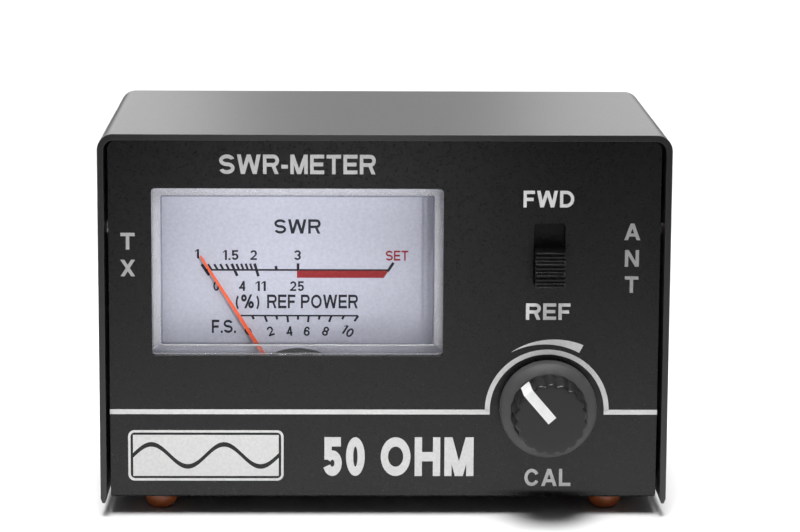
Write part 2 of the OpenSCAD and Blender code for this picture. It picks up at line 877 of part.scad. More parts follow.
// A strap across the movement on two legs; it holds the jewel screw.
module bridge(strap_y, leg_from, leg_to) {
  translate([meter_x, 0, pivot_z]) {
    difference() {
      box([-leg_x - leg_w, strap_y, -bridge_half_h], [leg_x + leg_w, strap_y + bridge_t, bridge_half_h]);
      facing_rear(0, strap_y - 1, 0) cylinder(r = jewel_r + 0.05, h = bridge_t + 2);
    }
    for (side = [-1, 1]) translate([side * (leg_x + leg_w / 2), 0, 0])
      box([-leg_w / 2, leg_from, -bridge_half_h], [leg_w / 2, leg_to, bridge_half_h]);
  }
}

module front_bridge() {
  color("gold") in_case() bridge(front_bridge_y, front_bridge_y + bridge_t, core_y);
}

module rear_bridge() {
  color("gold") in_case() bridge(rear_bridge_y, core_y + core_len, rear_bridge_y);
}

module jewel_screws() {
  color("darkred") in_case() {
    meter_axis(front_bridge_y - 0.5) cylinder(r = jewel_r, h = bridge_t + 0.9);
    meter_axis(rear_bridge_y - 0.4) cylinder(r = jewel_r, h = bridge_t + 0.9);
  }
}

// A flat spiral from the staff out to a tag on the bridge's leg.
module hairspring() {
  steps = 16 * spring_turns;
  radius = function(i) spring_in + (spring_out - spring_in) * i / steps;
  angle = function(i) 360 * spring_turns * (i / steps - 1);
  inner = [for (i = [0 : steps]) radius(i) * [cos(angle(i)), sin(angle(i))]];
  outer = [for (i = [steps : -1 : 0]) (radius(i) + spring_w) * [cos(angle(i)), sin(angle(i))]];
  linear_extrude(spring_h) {
    polygon(concat(inner, outer));
    translate([spring_out, -0.6]) square([leg_x - spring_out, 1.2]);
  }
}

module hairsprings() {
  color("gold") in_case() {
    meter_axis(coil_y - 0.9) hairspring();
    meter_axis(coil_y + coil_len + 0.4) hairspring();
  }
}

module meter_bracket() {
  color("silver") in_case() difference() {
    union() {
      box([meter_x - bracket_w / 2, meter_back, chassis_t],
          [meter_x + bracket_w / 2, meter_back + bracket_t, meter_z + meter_h - 10]);
      box([meter_x - bracket_w / 2, meter_back, chassis_t],
          [meter_x + bracket_w / 2, meter_back + 12, chassis_t + bracket_t]);
    }
    bracket_screw_places() cylinder(r = screw_r + 0.02, h = 6);
  }
}

module bracket_screws() {
  color("silver") in_case() bracket_screw_places() {
    translate([0, 0, -1.6]) cylinder(r = screw_head_r, h = 1.6);
    translate([0, 0, -eps]) cylinder(r = screw_r, h = 5);
  }
}

module pointer() {
  color("orangered") in_case() at_pointer_rest() {
    facing_rear(0, pointer_y, 0) ring(hub_r, staff_r + 0.02, pointer_t);
    upright(pointer_y, pointer_t) {
      polygon([[-0.5, hub_r - 0.2], [0.5, hub_r - 0.2], [0.28, pointer_len], [-0.28, pointer_len]]);
      translate([-0.4, -8]) square([0.8, 8 - hub_r + 0.2]);
      for (side = [-1, 1]) translate([side * 3.2, 0]) square([3.6, 0.6], center = true);
    }
  }
}

module balance_weights() {
  color("silver") in_case() at_pointer_rest() {
    for (x = [-4.4, 4.4]) facing_rear(x, pointer_y - 0.5, 0) cylinder(r = 0.5, h = 0.5);
    facing_rear(0, pointer_y - 0.7, -7) cylinder(r = 0.9, h = 0.7);
  }
}

module moving_coil() {
  color("chocolate") in_case() at_pointer_rest() difference() {
    box([-coil_out, coil_y, -coil_half_h], [coil_out, coil_y + coil_len, coil_half_h]);
    box([-coil_in, coil_y + coil_end_t, -coil_half_h - 1],
        [coil_in, coil_y + coil_len - coil_end_t, coil_half_h + 1]);
  }
}

module coil_staff() {
  front = front_bridge_y + bridge_t + 0.5;
  rear = rear_bridge_y - 0.5;
  color("silver") in_case() {
    meter_axis(front) cylinder(r = staff_r, h = coil_y - front);
    meter_axis(coil_y + coil_len) cylinder(r = staff_r, h = rear - coil_y - coil_len);
  }
}

// ---- wiring --------------------------------------------------------------------------------

// A wire of straight runs with round elbows through the given points.
module wire(points) {
  wire_r = 0.6;
  for (i = [0 : len(points) - 2]) {
    run = points[i + 1] - points[i];
    length = norm(run);
    translate(points[i]) rotate([0, acos(run[2] / length), atan2(run[1], run[0])])
      cylinder(r = wire_r, h = length);
  }
  for (i = [1 : len(points) - 2]) translate(points[i]) sphere(wire_r * 1.1);
}

module hookup_wires() {
  board_back = board_y + board_t;
  line_end = coupler_y - 0.1;
  stud_end = meter_back + 6.1;
  color("firebrick") in_case() {
    wire([[33, line_end, 44], [33, 45, 44], [27, 22, 55], [27, board_back, 55]]);
    wire([[-33, line_end, 26], [-33, 46, 26], [25, 40, 30], [36, 22, 36], [36, board_back, 36]]);
    wire([[meter_x + 18, stud_end, 25], [meter_x + 18, 37, 25], [30, 24, 12], [30, board_back, 12]]);
    wire([[meter_x - 18, stud_end, 25], [meter_x - 18, 41, 20], [24, 41, 12], [25, board_back, 12]]);
  }
}

// ---- nodes ---------------------------------------------------------------------------------

front_panel();
floor_pan();
rear_panel();
cover_tabs();
cover();
cover_screws();
foot_front_left();
foot_front_right();
foot_rear_left();
foot_rear_right();
tx_socket_shell();
tx_socket_insulator();
tx_centre_contact();
ant_socket_shell();
ant_socket_insulator();
ant_centre_contact();
socket_screws();
socket_nuts();
ground_lugs();
coupler_board();
through_line();
sense_lines();
load_resistors();
detector_diodes();
filter_capacitors();
control_board();
switch_frame();
switch_base();
switch_terminals();
pot_bushing();
pot_washer();
pot_nut();
pot_wafer();
pot_can();
pot_terminals();
meter_window();
meter_case();
dial_plate();
dial_screws();
meter_terminals();
yoke_ring();
core_magnet();
core_holder();
front_bridge();
rear_bridge();
jewel_screws();
hairsprings();
meter_bracket();
bracket_screws();
hookup_wires();
pointer();
balance_weights();
moving_coil();
coil_staff();
knob_body();
knob_indicator();
pot_shaft();
pot_wiper();
switch_slider();
switch_contacts();
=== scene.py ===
"""Looks of a small SWR meter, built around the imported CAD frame. All lengths are in metres."""
import json
import math

import bmesh
import bpy
from mathutils import Matrix, Vector


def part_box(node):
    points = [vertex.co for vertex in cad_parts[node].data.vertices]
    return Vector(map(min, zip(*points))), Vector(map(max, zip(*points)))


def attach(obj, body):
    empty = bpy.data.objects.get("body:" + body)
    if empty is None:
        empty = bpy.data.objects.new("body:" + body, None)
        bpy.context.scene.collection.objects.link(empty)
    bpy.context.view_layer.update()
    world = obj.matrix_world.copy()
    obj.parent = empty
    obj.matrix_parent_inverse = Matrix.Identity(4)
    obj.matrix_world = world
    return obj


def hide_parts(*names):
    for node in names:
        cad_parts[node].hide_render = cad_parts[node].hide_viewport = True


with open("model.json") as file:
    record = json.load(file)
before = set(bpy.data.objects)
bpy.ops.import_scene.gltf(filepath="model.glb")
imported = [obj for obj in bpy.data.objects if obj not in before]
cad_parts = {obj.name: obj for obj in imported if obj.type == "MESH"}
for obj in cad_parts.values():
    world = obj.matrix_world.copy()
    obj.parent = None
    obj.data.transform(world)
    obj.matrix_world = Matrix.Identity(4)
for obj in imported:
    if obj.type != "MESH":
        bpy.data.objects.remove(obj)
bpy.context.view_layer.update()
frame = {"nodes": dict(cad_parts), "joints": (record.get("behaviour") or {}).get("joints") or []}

MM = 0.001
INK = 0.03 * MM                 # thickness of printed ink

# ---- places, read from the frame -----------------------------------------------------------

cover_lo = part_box("cover")[0]
panel_lo, panel_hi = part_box("front_panel")
rear_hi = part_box("rear_panel")[1]
window_lo, window_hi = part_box("meter_window")
dial_lo, dial_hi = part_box("dial_plate")
yoke_lo, yoke_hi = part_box("yoke_ring")
knob_lo, knob_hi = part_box("knob_body")
slider_lo, slider_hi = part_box("switch_slider")
pointer_lo, pointer_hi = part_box("pointer")

PANEL_Y = panel_lo[1]           # outer face of the front panel
REAR_Y = rear_hi[1]             # outer face of the rear panel
BASE_Z = panel_lo[2]            # underside of the chassis
PIVOT_X = (yoke_lo[0] + yoke_hi[0]) / 2
PIVOT_Z = (yoke_lo[2] + yoke_hi[2]) / 2
KNOB_X = (knob_lo[0] + knob_hi[0]) / 2
KNOB_Z = (knob_lo[2] + knob_hi[2]) / 2
DIAL_Y = dial_lo[1]             # printed face of the dial
WINDOW_Y = window_lo[1]         # outer face of the window
WINDOW_SEAM_Y = window_hi[1]    # back of the window's flange

# ---- mesh helpers --------------------------------------------------------------------------


def add_piece(name, mesh, materials, body="case", replaces=()):
    """Links a mesh as a piece that rides on a body."""
    obj = bpy.data.objects.new(name, mesh)
    bpy.context.scene.collection.objects.link(obj)
    for material in materials:
        mesh.materials.append(material)
    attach(obj, body)
    if replaces:
        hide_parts(*replaces)
    return obj


def mesh_from(name, bm):
    bmesh.ops.recalc_face_normals(bm, faces=bm.faces)
    mesh = bpy.data.meshes.new(name)
    bm.to_mesh(mesh)
    bm.free()
    return mesh


def smooth(obj, degrees=35):
    for polygon in obj.data.polygons:
        polygon.use_smooth = True
    obj.data.set_sharp_from_angle(angle=math.radians(degrees))


def round_edges(obj, width, segments=3, degrees=35):
    """Rounds the edges of a piece that are sharper than an angle."""
    bevel = obj.modifiers.new("round", "BEVEL")
    bevel.width = width
    bevel.segments = segments
    bevel.limit_method = "ANGLE"
    bevel.angle_limit = math.radians(degrees)
    even = obj.modifiers.new("even", "WEIGHTED_NORMAL")
    even.mode = "FACE_AREA"
    even.weight = 100
    for polygon in obj.data.polygons:
        polygon.use_smooth = True


def finish_cad(node, material, width=0.1 * MM, segments=2):
    """Gives a CAD node its material and small rounded edges."""
    obj = frame["nodes"][node]
    obj.data.materials.clear()
    obj.data.materials.append(material)
    weld = obj.modifiers.new("weld", "WELD")
    weld.merge_threshold = 1e-6
    flat = obj.modifiers.new("flat", "DECIMATE")
    flat.decimate_type = "DISSOLVE"
    flat.angle_limit = math.radians(0.5)
    if width > 0:
        round_edges(obj, width, segments, 40)
    return obj


def lathe(bm, profile, centre, segments=96, closed=False, shape=None):
    """Turns (radius, distance) points about the line along +Y through centre.

    An open profile starts and ends on the line; a closed one goes round a hole.
    shape(i, angle, radius, distance) may return another radius for a point.
    """
    rings = []
    for i, (radius, distance) in enumerate(profile):
        ring = []
        count = 1 if radius < 1e-9 else segments
        for j in range(count):
            angle = 2 * math.pi * j / segments
            r = shape(i, angle, radius, distance) if shape and count > 1 else radius
            x = centre[0] + r * math.sin(angle)
            z = centre[2] + r * math.cos(angle)
            ring.append(bm.verts.new((x, centre[1] + distance, z)))
        rings.append(ring)
    pairs = list(zip(rings, rings[1:] + rings[:1] if closed else rings[1:]))
    for a, b in pairs:
        for j in range(segments):
            k = (j + 1) % segments
            corners = [a[j % len(a)], a[k % len(a)], b[k % len(b)], b[j % len(b)]]
            unique = [v for n, v in enumerate(corners) if v not in corners[:n]]
            if len(unique) > 2:
                bm.faces.new(unique)


def extrude_loop(bm, loop, y_front, y_back):
    """A closed prism from a loop of (x, z) points."""
    front = [bm.verts.new((x, y_front, z)) for x, z in loop]
    back = [bm.verts.new((x, y_back, z)) for x, z in loop]
    bm.faces.new(front)
    bm.faces.new(list(reversed(back)))
    for i in range(len(loop)):
        k = (i + 1) % len(loop)
        bm.faces.new((front[i], back[i], back[k], front[k]))


def strip(bm, inner, outer, y_front, y_back):
    """A closed band between two rows of (x, z) points; a ring if the rows end where they start."""
    ring = (Vector(outer[0]) - Vector(outer[-1])).length < 1e-7
    if ring:
        inner = inner[:-1]
        outer = outer[:-1]
    rows = []
    for y in (y_front, y_back):
        for row in (inner, outer):
            rows.append([bm.verts.new((x, y, z)) for x, z in row])
    front_in, front_out, back_in, back_out = rows
    count = len(inner)
    for i in range(count if ring else count - 1):
        k = (i + 1) % count
        bm.faces.new((front_in[i], front_in[k], front_out[k], front_out[i]))
        bm.faces.new((back_in[i], back_out[i], back_out[k], back_in[k]))
        bm.faces.new((front_in[i], back_in[i], back_in[k], front_in[k]))
        bm.faces.new((front_out[i], front_out[k], back_out[k], back_out[i]))
    if not ring:
        for i in (0, -1):
            bm.faces.new((front_in[i], front_out[i], back_out[i], back_in[i]))


def bar_loop(start, end, width, width_end=None):
    """Corners of a straight bar between two (x, z) points."""
    a = Vector(start)
    b = Vector(end)
    across = (b - a).normalized().orthogonal() / 2
    far = across * (width_end if width_end is not None else width)
    near = across * width
    return [tuple(a + near), tuple(b + far), tuple(b - far), tuple(a - near)]


def rounded_rect(cx, cz, w, h, r, steps=8):
    loop = []
    for quarter, (sx, sz) in enumerate(((1, 1), (-1, 1), (-1, -1), (1, -1))):
        for i in range(steps + 1):
            angle = math.pi / 2 * (quarter + i / steps)
            loop.append((
                cx + sx * (w / 2 - r) + r * math.cos(angle),
                cz + sz * (h / 2 - r) + r * math.sin(angle),
            ))
    return loop


def plate(name, outline, holes, y_front, y_back, edge=0.0, resolution=2):
    """A flat plate with holes, from a filled 2D curve, with rounded edges."""
    curve = bpy.data.curves.new(name, "CURVE")
    curve.dimensions = "2D"
    curve.fill_mode = "BOTH"
    for loop in [outline] + list(holes):
        spline = curve.splines.new("POLY")
        spline.points.add(len(loop) - 1)
        spline.use_cyclic_u = True
        for point, (x, z) in zip(spline.points, loop):
            point.co = (x, z, 0, 1)
    curve.extrude = abs(y_back - y_front) / 2 - edge
    curve.bevel_depth = edge
    curve.offset = -edge
    curve.bevel_resolution = resolution
    mesh = curve_to_mesh(name, curve)
    middle = Matrix.Translation((0, (y_front + y_back) / 2, 0))
    mesh.transform(middle @ Matrix.Rotation(math.pi / 2, 4, "X"))
    return mesh


def curve_to_mesh(name, curve):
    holder = bpy.data.objects.new(name + "_curve", curve)
    bpy.context.scene.collection.objects.link(holder)
    depsgraph = bpy.context.evaluated_depsgraph_get()
    mesh = bpy.data.meshes.new_from_object(holder.evaluated_get(depsgraph))
    bpy.data.objects.remove(holder)
    bpy.data.curves.remove(curve)
    bm = bmesh.new()
    bm.from_mesh(mesh)
    bmesh.ops.remove_doubles(bm, verts=bm.verts, dist=1e-8)
    bm.to_mesh(mesh)
    bm.free()
    mesh.name = name
    mesh.materials.clear()
    return mesh


# ---- material helpers ----------------------------------------------------------------------


class Shader:
    """A Principled material whose nodes are added one after another."""

    def __init__(self, name, colour, roughness, metallic=0.0, **constants):
        self.material = bpy.data.materials.new(name)
        self.material.use_nodes = True
        self.nodes = self.material.node_tree.nodes
        self.links = self.material.node_tree.links
        self.bsdf = self.nodes["Principled BSDF"]
        self.colour = colour
        self.roughness = roughness
        self.bsdf.inputs["Base Color"].default_value = (*colour, 1)
        self.bsdf.inputs["Roughness"].default_value = roughness
        self.bsdf.inputs["Metallic"].default_value = metallic
        for socket, value in constants.items():
            self.bsdf.inputs[socket.replace("_", " ")].default_value = value
        self.place = self.nodes.new("ShaderNodeTexCoord").outputs["Object"]

    def stretched(self, scale):
        mapping = self.nodes.new("ShaderNodeMapping")
        mapping.inputs["Scale"].default_value = scale
        self.links.new(self.place, mapping.inputs["Vector"])
        return mapping.outputs["Vector"]

    def noise(self, size, detail=3.0, stretch=(1, 1, 1)):
        """Noise whose lumps are about size metres across."""
        texture = self.nodes.new("ShaderNodeTexNoise")
        texture.inputs["Scale"].default_value = 1 / size
        texture.inputs["Detail"].default_value = detail
        self.links.new(self.stretched(stretch), texture.inputs["Vector"])
        return texture.outputs["Fac"]

    def mix(self, factor, colour_a, colour_b, low=0.35, high=0.65):
        ramp = self.nodes.new("ShaderNodeValToRGB")
        ramp.color_ramp.elements[0].position = low
        ramp.color_ramp.elements[1].position = high
        ramp.color_ramp.elements[0].color = (*colour_a, 1)
        ramp.color_ramp.elements[1].color = (*colour_b, 1)
        self.links.new(factor, ramp.inputs["Fac"])
        return ramp.outputs["Color"]

    def vary_colour(self, size, amount, stretch=(1, 1, 1)):
        darker = tuple(c * (1 - amount) for c in self.colour)
        lighter = tuple(min(1, c * (1 + amount)) for c in self.colour)
        colour = self.mix(self.noise(size, 4, stretch), darker, lighter)
        self.links.new(colour, self.bsdf.inputs["Base Color"])
        return self

    def vary_roughness(self, size, amount, stretch=(1, 1, 1)):
        spread = self.nodes.new("ShaderNodeMapRange")
        spread.inputs["From Min"].default_value = 0.3
        spread.inputs["From Max"].default_value = 0.7
        spread.inputs["To Min"].default_value = self.roughness - amount
        spread.inputs["To Max"].default_value = self.roughness + amount
        self.links.new(self.noise(size, 3, stretch), spread.inputs["Value"])
        self.links.new(spread.outputs["Result"], self.bsdf.inputs["Roughness"])
        return self

    def bump(self, size, height, strength=0.5, stretch=(1, 1, 1), detail=3.0):
        bump = self.nodes.new("ShaderNodeBump")
        bump.inputs["Strength"].default_value = strength
        bump.inputs["Distance"].default_value = height
        self.links.new(self.noise(size, detail, stretch), bump.inputs["Height"])
        previous = self.bsdf.inputs["Normal"].links
        if previous:
            self.links.new(previous[0].from_socket, bump.inputs["Normal"])
        self.links.new(bump.outputs["Normal"], self.bsdf.inputs["Normal"])
        return self


def paint(name, colour, roughness, grain, depth, speckle, specular):
    """Sprayed paint: a fine grain over a broader unevenness."""
    shader = Shader(name, colour, roughness, Specular_IOR_Level=specular)
    shader.vary_colour(grain * 1.5, speckle).vary_roughness(grain * 3, speckle * 0.08)
    return shader.bump(grain, depth, 0.6).bump(grain * 5, depth, 0.15).material


def plastic(name, colour, roughness, grain=0.15 * MM, depth=0.01 * MM, **constants):
    shader = Shader(name, colour, roughness, **constants)
    shader.vary_colour(2 * MM, 0.06).vary_roughness(1 * MM, 0.05)
    return shader.bump(grain, depth, 0.3).material


def metal(name, colour, roughness, stretch=(1, 1, 1), scratch=0.4 * MM):
    shader = Shader(name, colour, roughness, 1.0)
    shader.vary_colour(3 * MM, 0.06).vary_roughness(scratch * 4, 0.06, stretch)
    return shader.bump(scratch, 0.004 * MM, 0.15, stretch).material


def ink(name, colour):
    shader = Shader(name, colour, 0.55, Specular_IOR_Level=0.2)
    shader.vary_colour(0.6 * MM, 0.05)
    return shader.bump(0.12 * MM, 0.005 * MM, 0.4).material


def clear(name, colour, alpha):
    shader = Shader(name, colour, 0.06, Alpha=alpha, Specular_IOR_Level=0.25)
    return shader.vary_roughness(4 * MM, 0.02).bump(6 * MM, 0.004 * MM, 0.1).material


def amber(name):
    shader = Shader(name, (0.36, 0.09, 0.025), 0.28, Transmission_Weight=0.35)
    return shader.vary_colour(1.5 * MM, 0.2).bump(0.5 * MM, 0.01 * MM, 0.2).material


def laminate(name, colour):
    shader = Shader(name, colour, 0.4)
    shader.vary_colour(0.8 * MM, 0.15, (1, 1, 6))
    return shader.bump(0.3 * MM, 0.01 * MM, 0.4, (4, 1, 1)).material


PANEL_PAINT = paint("panel_paint", (0.0028, 0.0026, 0.0030), 0.3, 0.16 * MM, 0.016 * MM, 0.6, 0.38)
COVER_PAINT = paint("cover_paint", (0.016, 0.0155, 0.0155), 0.3, 0.12 * MM, 0.0004 * MM, 0.2, 0.5)
LEGEND_INK = ink("legend_ink", (0.68, 0.68, 0.675))
SIDE_INK = ink("side_ink", (0.33, 0.33, 0.33))
DIAL_FACE = ink("dial_face", (0.465, 0.475, 0.56))
DIAL_BLACK = ink("dial_black", (0.012, 0.012, 0.02))
DIAL_RED = ink("dial_red", (0.25, 0.017, 0.02))
POINTER_RED = ink("pointer_red", (0.80, 0.115, 0.045))
KNOB_PLASTIC = plastic("knob_plastic", (0.006, 0.006, 0.0065), 0.42)
# painted sheen: the skirt is the knob's own plastic, given a lighter colour in place of the light it
# catches; its higher roughness is the matter finish
KNOB_SKIRT_PAINTED_SHEEN = plastic("knob_skirt_painted_sheen", (0.055, 0.055, 0.056), 0.6)
KNOB_WHITE = plastic("knob_white", (0.80, 0.80, 0.80), 0.4)
SLIDER_PLASTIC = plastic("slider_plastic", (0.003, 0.003, 0.003), 0.3, Specular_IOR_Level=0.25)
METER_PLASTIC = plastic("meter_plastic", (0.62, 0.62, 0.65), 0.5)
WINDOW_CLEAR = clear("window_clear", (0.03, 0.03, 0.035), 0.03)
WINDOW_WALL = clear("window_wall", (0.74, 0.74, 0.76), 0.28)
# painted shade: a darker, clearer copy of the wall tint, for the bottom wall only
WINDOW_WALL_PAINTED_SHADE = clear("window_wall_painted_shade", (0.5, 0.5, 0.53), 0.1)
# painted shade: dark tint for a thin line round the opening, in place of the moulding's inner edge
# seen dark through refraction
WINDOW_PAINTED_EDGE_SHADE = clear("window_painted_edge_shade", (0.16, 0.16, 0.24), 0.4)
# painted glint: light colour for a strip that stands in for the highlight on the moulding's bottom
# inner edge
PAINTED_GLINT_SHADER = clear("window_painted_glint", (0.85, 0.85, 0.85), 0.4)
AMBER = amber("foot_amber")
NICKEL = metal("nickel", (0.62, 0.60, 0.56), 0.24)
ZINC = metal("zinc", (0.62, 0.62, 0.60), 0.36, (1, 1, 5))
BRASS = metal("brass", (0.72, 0.50, 0.20), 0.3)
COPPER = metal("copper", (0.72, 0.34, 0.18), 0.3, (6, 1, 1))
IRON = metal("soft_iron", (0.10, 0.10, 0.105), 0.5)
ALUMINIUM = metal("aluminium", (0.75, 0.75, 0.76), 0.35, (1, 1, 4))
BOARD_GREEN = laminate("board_green", (0.02, 0.10, 0.03))
PHENOLIC = laminate("phenolic", (0.20, 0.09, 0.035))
PTFE = plastic("ptfe", (0.75, 0.73, 0.66), 0.45)
SHAFT_WHITE = plastic("shaft_white", (0.70, 0.70, 0.66), 0.45)
RESISTOR_TAN = plastic("resistor_tan", (0.50, 0.33, 0.16), 0.35)
PART_ORANGE = plastic("part_orange", (0.62, 0.18, 0.03), 0.3)
WIRE_RED = plastic("wire_red", (0.35, 0.02, 0.02), 0.35)

# ---- CAD nodes that keep their shape -------------------------------------------------------

# node: its material, and the width in millimetres of its rounded edges
CAD_FINISH = {
    "front_panel": (PANEL_PAINT, 0.12),
    "floor_pan": (PANEL_PAINT, 0.0),
    "rear_panel": (PANEL_PAINT, 0.12),
    "cover_tabs": (PANEL_PAINT, 0.1),
    "cover": (COVER_PAINT, 0.3),
    "cover_screws": (ZINC, 0.05),
    "tx_centre_contact": (BRASS, 0.1),
    "ant_centre_contact": (BRASS, 0.1),
    "socket_screws": (NICKEL, 0.12),
    "socket_nuts": (ZINC, 0.12),
    "ground_lugs": (BRASS, 0.1),
    "coupler_board": (BOARD_GREEN, 0.08),
    "through_line": (COPPER, 0.0),
    "sense_lines": (COPPER, 0.0),
    "load_resistors": (RESISTOR_TAN, 0.12),
    "detector_diodes": (PART_ORANGE, 0.12),
    "filter_capacitors": (PART_ORANGE, 0.12),
    "control_board": (BOARD_GREEN, 0.08),
    "switch_frame": (ZINC, 0.08),
    "switch_base": (PHENOLIC, 0.08),
    "switch_terminals": (BRASS, 0.08),
    "pot_bushing": (ALUMINIUM, 0.12),
    "pot_washer": (ZINC, 0.08),
    "pot_nut": (NICKEL, 0.15),
    "pot_wafer": (PHENOLIC, 0.08),
    "pot_can": (ZINC, 0.15),
    "pot_terminals": (BRASS, 0.08),
    "meter_case": (METER_PLASTIC, 0.15),
    "dial_screws": (ZINC, 0.1),
    "meter_terminals": (BRASS, 0.1),
    "yoke_ring": (IRON, 0.15),
    "core_magnet": (IRON, 0.15),
    "core_holder": (ALUMINIUM, 0.1),
    "front_bridge": (BRASS, 0.08),
    "rear_bridge": (BRASS, 0.08),
    "jewel_screws": (BRASS, 0.08),
    "hairsprings": (BRASS, 0.0),
    "meter_bracket": (ZINC, 0.15),
    "bracket_screws": (ZINC, 0.15),
    "hookup_wires": (WIRE_RED, 0.0),
    "balance_weights": (ALUMINIUM, 0.06),
    "moving_coil": (COPPER, 0.15),
    "coil_staff": (IRON, 0.05),
    "pot_shaft": (SHAFT_WHITE, 0.15),
    "pot_wiper": (BRASS, 0.06),
    "switch_contacts": (BRASS, 0.06),
}
for node_name, (node_material, node_edge) in CAD_FINISH.items():
    finish_cad(node_name, node_material, node_edge * MM)

# ---- legends -------------------------------------------------------------------------------


def bar(x0, z0, x1, z1):
    """An upright rectangle, as two rows of points."""
    return [(x0, z0), (x1, z0)], [(x0, z1), (x1, z1)]


def slant(x_low, x_high, width, z0=0.0, z1=1.0):
    """A leaning stroke cut level at both ends."""
    return [(x_low, z0), (x_high, z1)], [(x_low + width, z0), (x_high + width, z1)]


def bow(cx, cz, rx, rz, t, start, end):
    """Part of an oval ring; angles in degrees, clockwise from straight up."""
    steps = max(4, round((end - start) / 12))
    rows = []
    for a, b in ((rx - t, rz - t), (rx, rz)):
        angles = [math.radians(start + (end - start) * i / steps) for i in range(steps + 1)]
        rows.append([(cx + a * math.sin(angle), cz + b * math.cos(angle)) for angle in angles])
    return rows


# Widths as shares of the height
LETTER_W = {
    "S": 0.84, "W": 1.3, "R": 0.88, "-": 0.36, "M": 0.96, "E": 0.77, "T": 0.8, "F": 0.7, "D": 0.88,
    "C": 0.9, "A": 0.95, "L": 0.7, "X": 0.88, "N": 0.82, "O": 0.98, "H": 0.84, "P": 0.8, "(": 0.34,
    ")": 0.34, "%": 1.1, ".": 0.14, " ": 0.25, "1": 0.36,
}
DIGIT_W = 0.62


def letter_shapes(char, w, t):
    """The strokes of a plain upright letter, one unit high, w wide and t thick."""
    mid = (w - t) / 2
    half = 0.25 + t / 4
    lean = 1.1 * t
    peak = (w - lean) / 2
    bowl = half * 1.04
    stem = bar(0, 0, t, 1)
    bowl_z = 1 - bowl
    bowl_top = bar(0, 1 - t, w - bowl, 1)
    bowl_base = bar(0, 1 - 2 * bowl, w - bowl, 1 - 2 * bowl + t)
    bowl_bow = bow(w - bowl, bowl_z, bowl, bowl, t, 0, 180)
    shapes = {
        "T": [bar(0, 1 - t, w, 1), bar(mid, 0, mid + t, 1)],
        "E": [stem, bar(0, 1 - t, w, 1), bar(0, 0, w, t), bar(0, 0.5 - t / 2, w * 0.93, 0.5 + t / 2)],
        "F": [stem, bar(0, 1 - t, w, 1), bar(0, 0.48 - t / 2, w * 0.9, 0.48 + t / 2)],
        "L": [stem, bar(0, 0, w, t)],
        "H": [stem, bar(w - t, 0, w, 1), bar(0, 0.5 - t / 2, w, 0.5 + t / 2)],
        "N": [stem, bar(w - t, 0, w, 1), slant(w - lean, 0, lean)],
        "M": [stem, bar(w - t, 0, w, 1), slant(peak, 0, lean), slant(peak, w - lean, lean)],
        "W": [
            slant(w * 0.25 - lean / 2, 0, lean),
            slant(w * 0.25 - lean / 2, peak, lean),
            slant(w * 0.75 - lean / 2, peak, lean),
            slant(w * 0.75 - lean / 2, w - lean, lean),
        ],
        "A": [
            slant(0, peak, lean),
            slant(w - lean, peak, lean),
            bar(0.2 * w, 0.22, 0.8 * w, 0.22 + t * 0.9),
        ],
        "X": [slant(0, w - 1.2 * t, 1.2 * t), slant(w - 1.2 * t, 0, 1.2 * t)],
        "P": [stem, bowl_top, bowl_base, bowl_bow],
        "R": [
            stem,
            bowl_top,
            bowl_base,
            bowl_bow,
            slant(w - lean * 1.1, w * 0.45, lean, 0, 1 - 2 * bowl + t),
        ],
        "D": [
            stem,
            bar(0, 1 - t, w * 0.45, 1),
            bar(0, 0, w * 0.45, t),
            bow(w * 0.45, 0.5, w * 0.55, 0.5, t, 0, 180),
        ],
        "O": [bow(w / 2, 0.5, w / 2, 0.5, t, 0, 360)],
        "C": [bow(w / 2, 0.5, w / 2, 0.5, t, 118, 422)],
        "S": [
            bow(w / 2, 1 - half, w / 2, half, t, -180, 72),
            bow(w / 2, half, w / 2, half, t, 0, 252),
        ],
        "-": [bar(0, 0.38 - t / 2, w, 0.38 + t / 2)],
        ".": [bar(0, 0, t, t)],
        "(": [bow(w * 1.2, 0.42, w * 1.2, 0.62, t * 0.85, 214, 326)],
        ")": [bow(-w * 0.2, 0.42, w * 1.2, 0.62, t * 0.85, 34, 146)],
        "%": [
            bow(w * 0.22, 0.74, w * 0.22, 0.26, t, 0, 360),
            bow(w * 0.78, 0.26, w * 0.22, 0.26, t, 0, 360),
            slant(w * 0.24, w * 0.7, t),
        ],
        "0": [bow(w / 2, 0.5, w / 2, 0.5, t, 0, 360)],
        "1": [bar(w - t, 0, w, 1), ([(0, 0.68), (w - t, 0.86)], [(0, 0.8), (w - t, 1)])],
        "2": [
            bow(w / 2, 1 - w / 2, w / 2, w / 2, t, -80, 125),
            slant(0, w * 0.72, lean, t * 0.6, 0.56),
            bar(0, 0, w, t),
        ],
        "3": [
            bow(w / 2, 1 - half, w / 2, half, t, -75, 180),
            bow(w / 2, half, w / 2, half, t, 0, 255),
        ],
        "4": [
            bar(w * 0.62, 0, w * 0.62 + t, 1),
            bar(0, 0.22, w, 0.22 + t),
            slant(0, w * 0.62, t, 0.22, 1),
        ],
        "5": [
            bar(w * 0.12, 1 - t, w * 0.95, 1),
            bar(w * 0.08, 0.42, w * 0.08 + t, 1),
            bow(w / 2, 0.33, w / 2, 0.33, t, -62, 250),
        ],
        "6": [
            bow(w / 2, 0.32, w / 2, 0.32, t, 0, 360),
            bow(w / 2, 0.5, w / 2, 0.5, t, 250, 422),
        ],
        "8": [
            bow(w / 2, 1 - half, w * 0.46, half, t, 0, 360),
            bow(w / 2, half, w / 2, half, t, 0, 360),
        ],
    }
    return shapes.get(char, [])


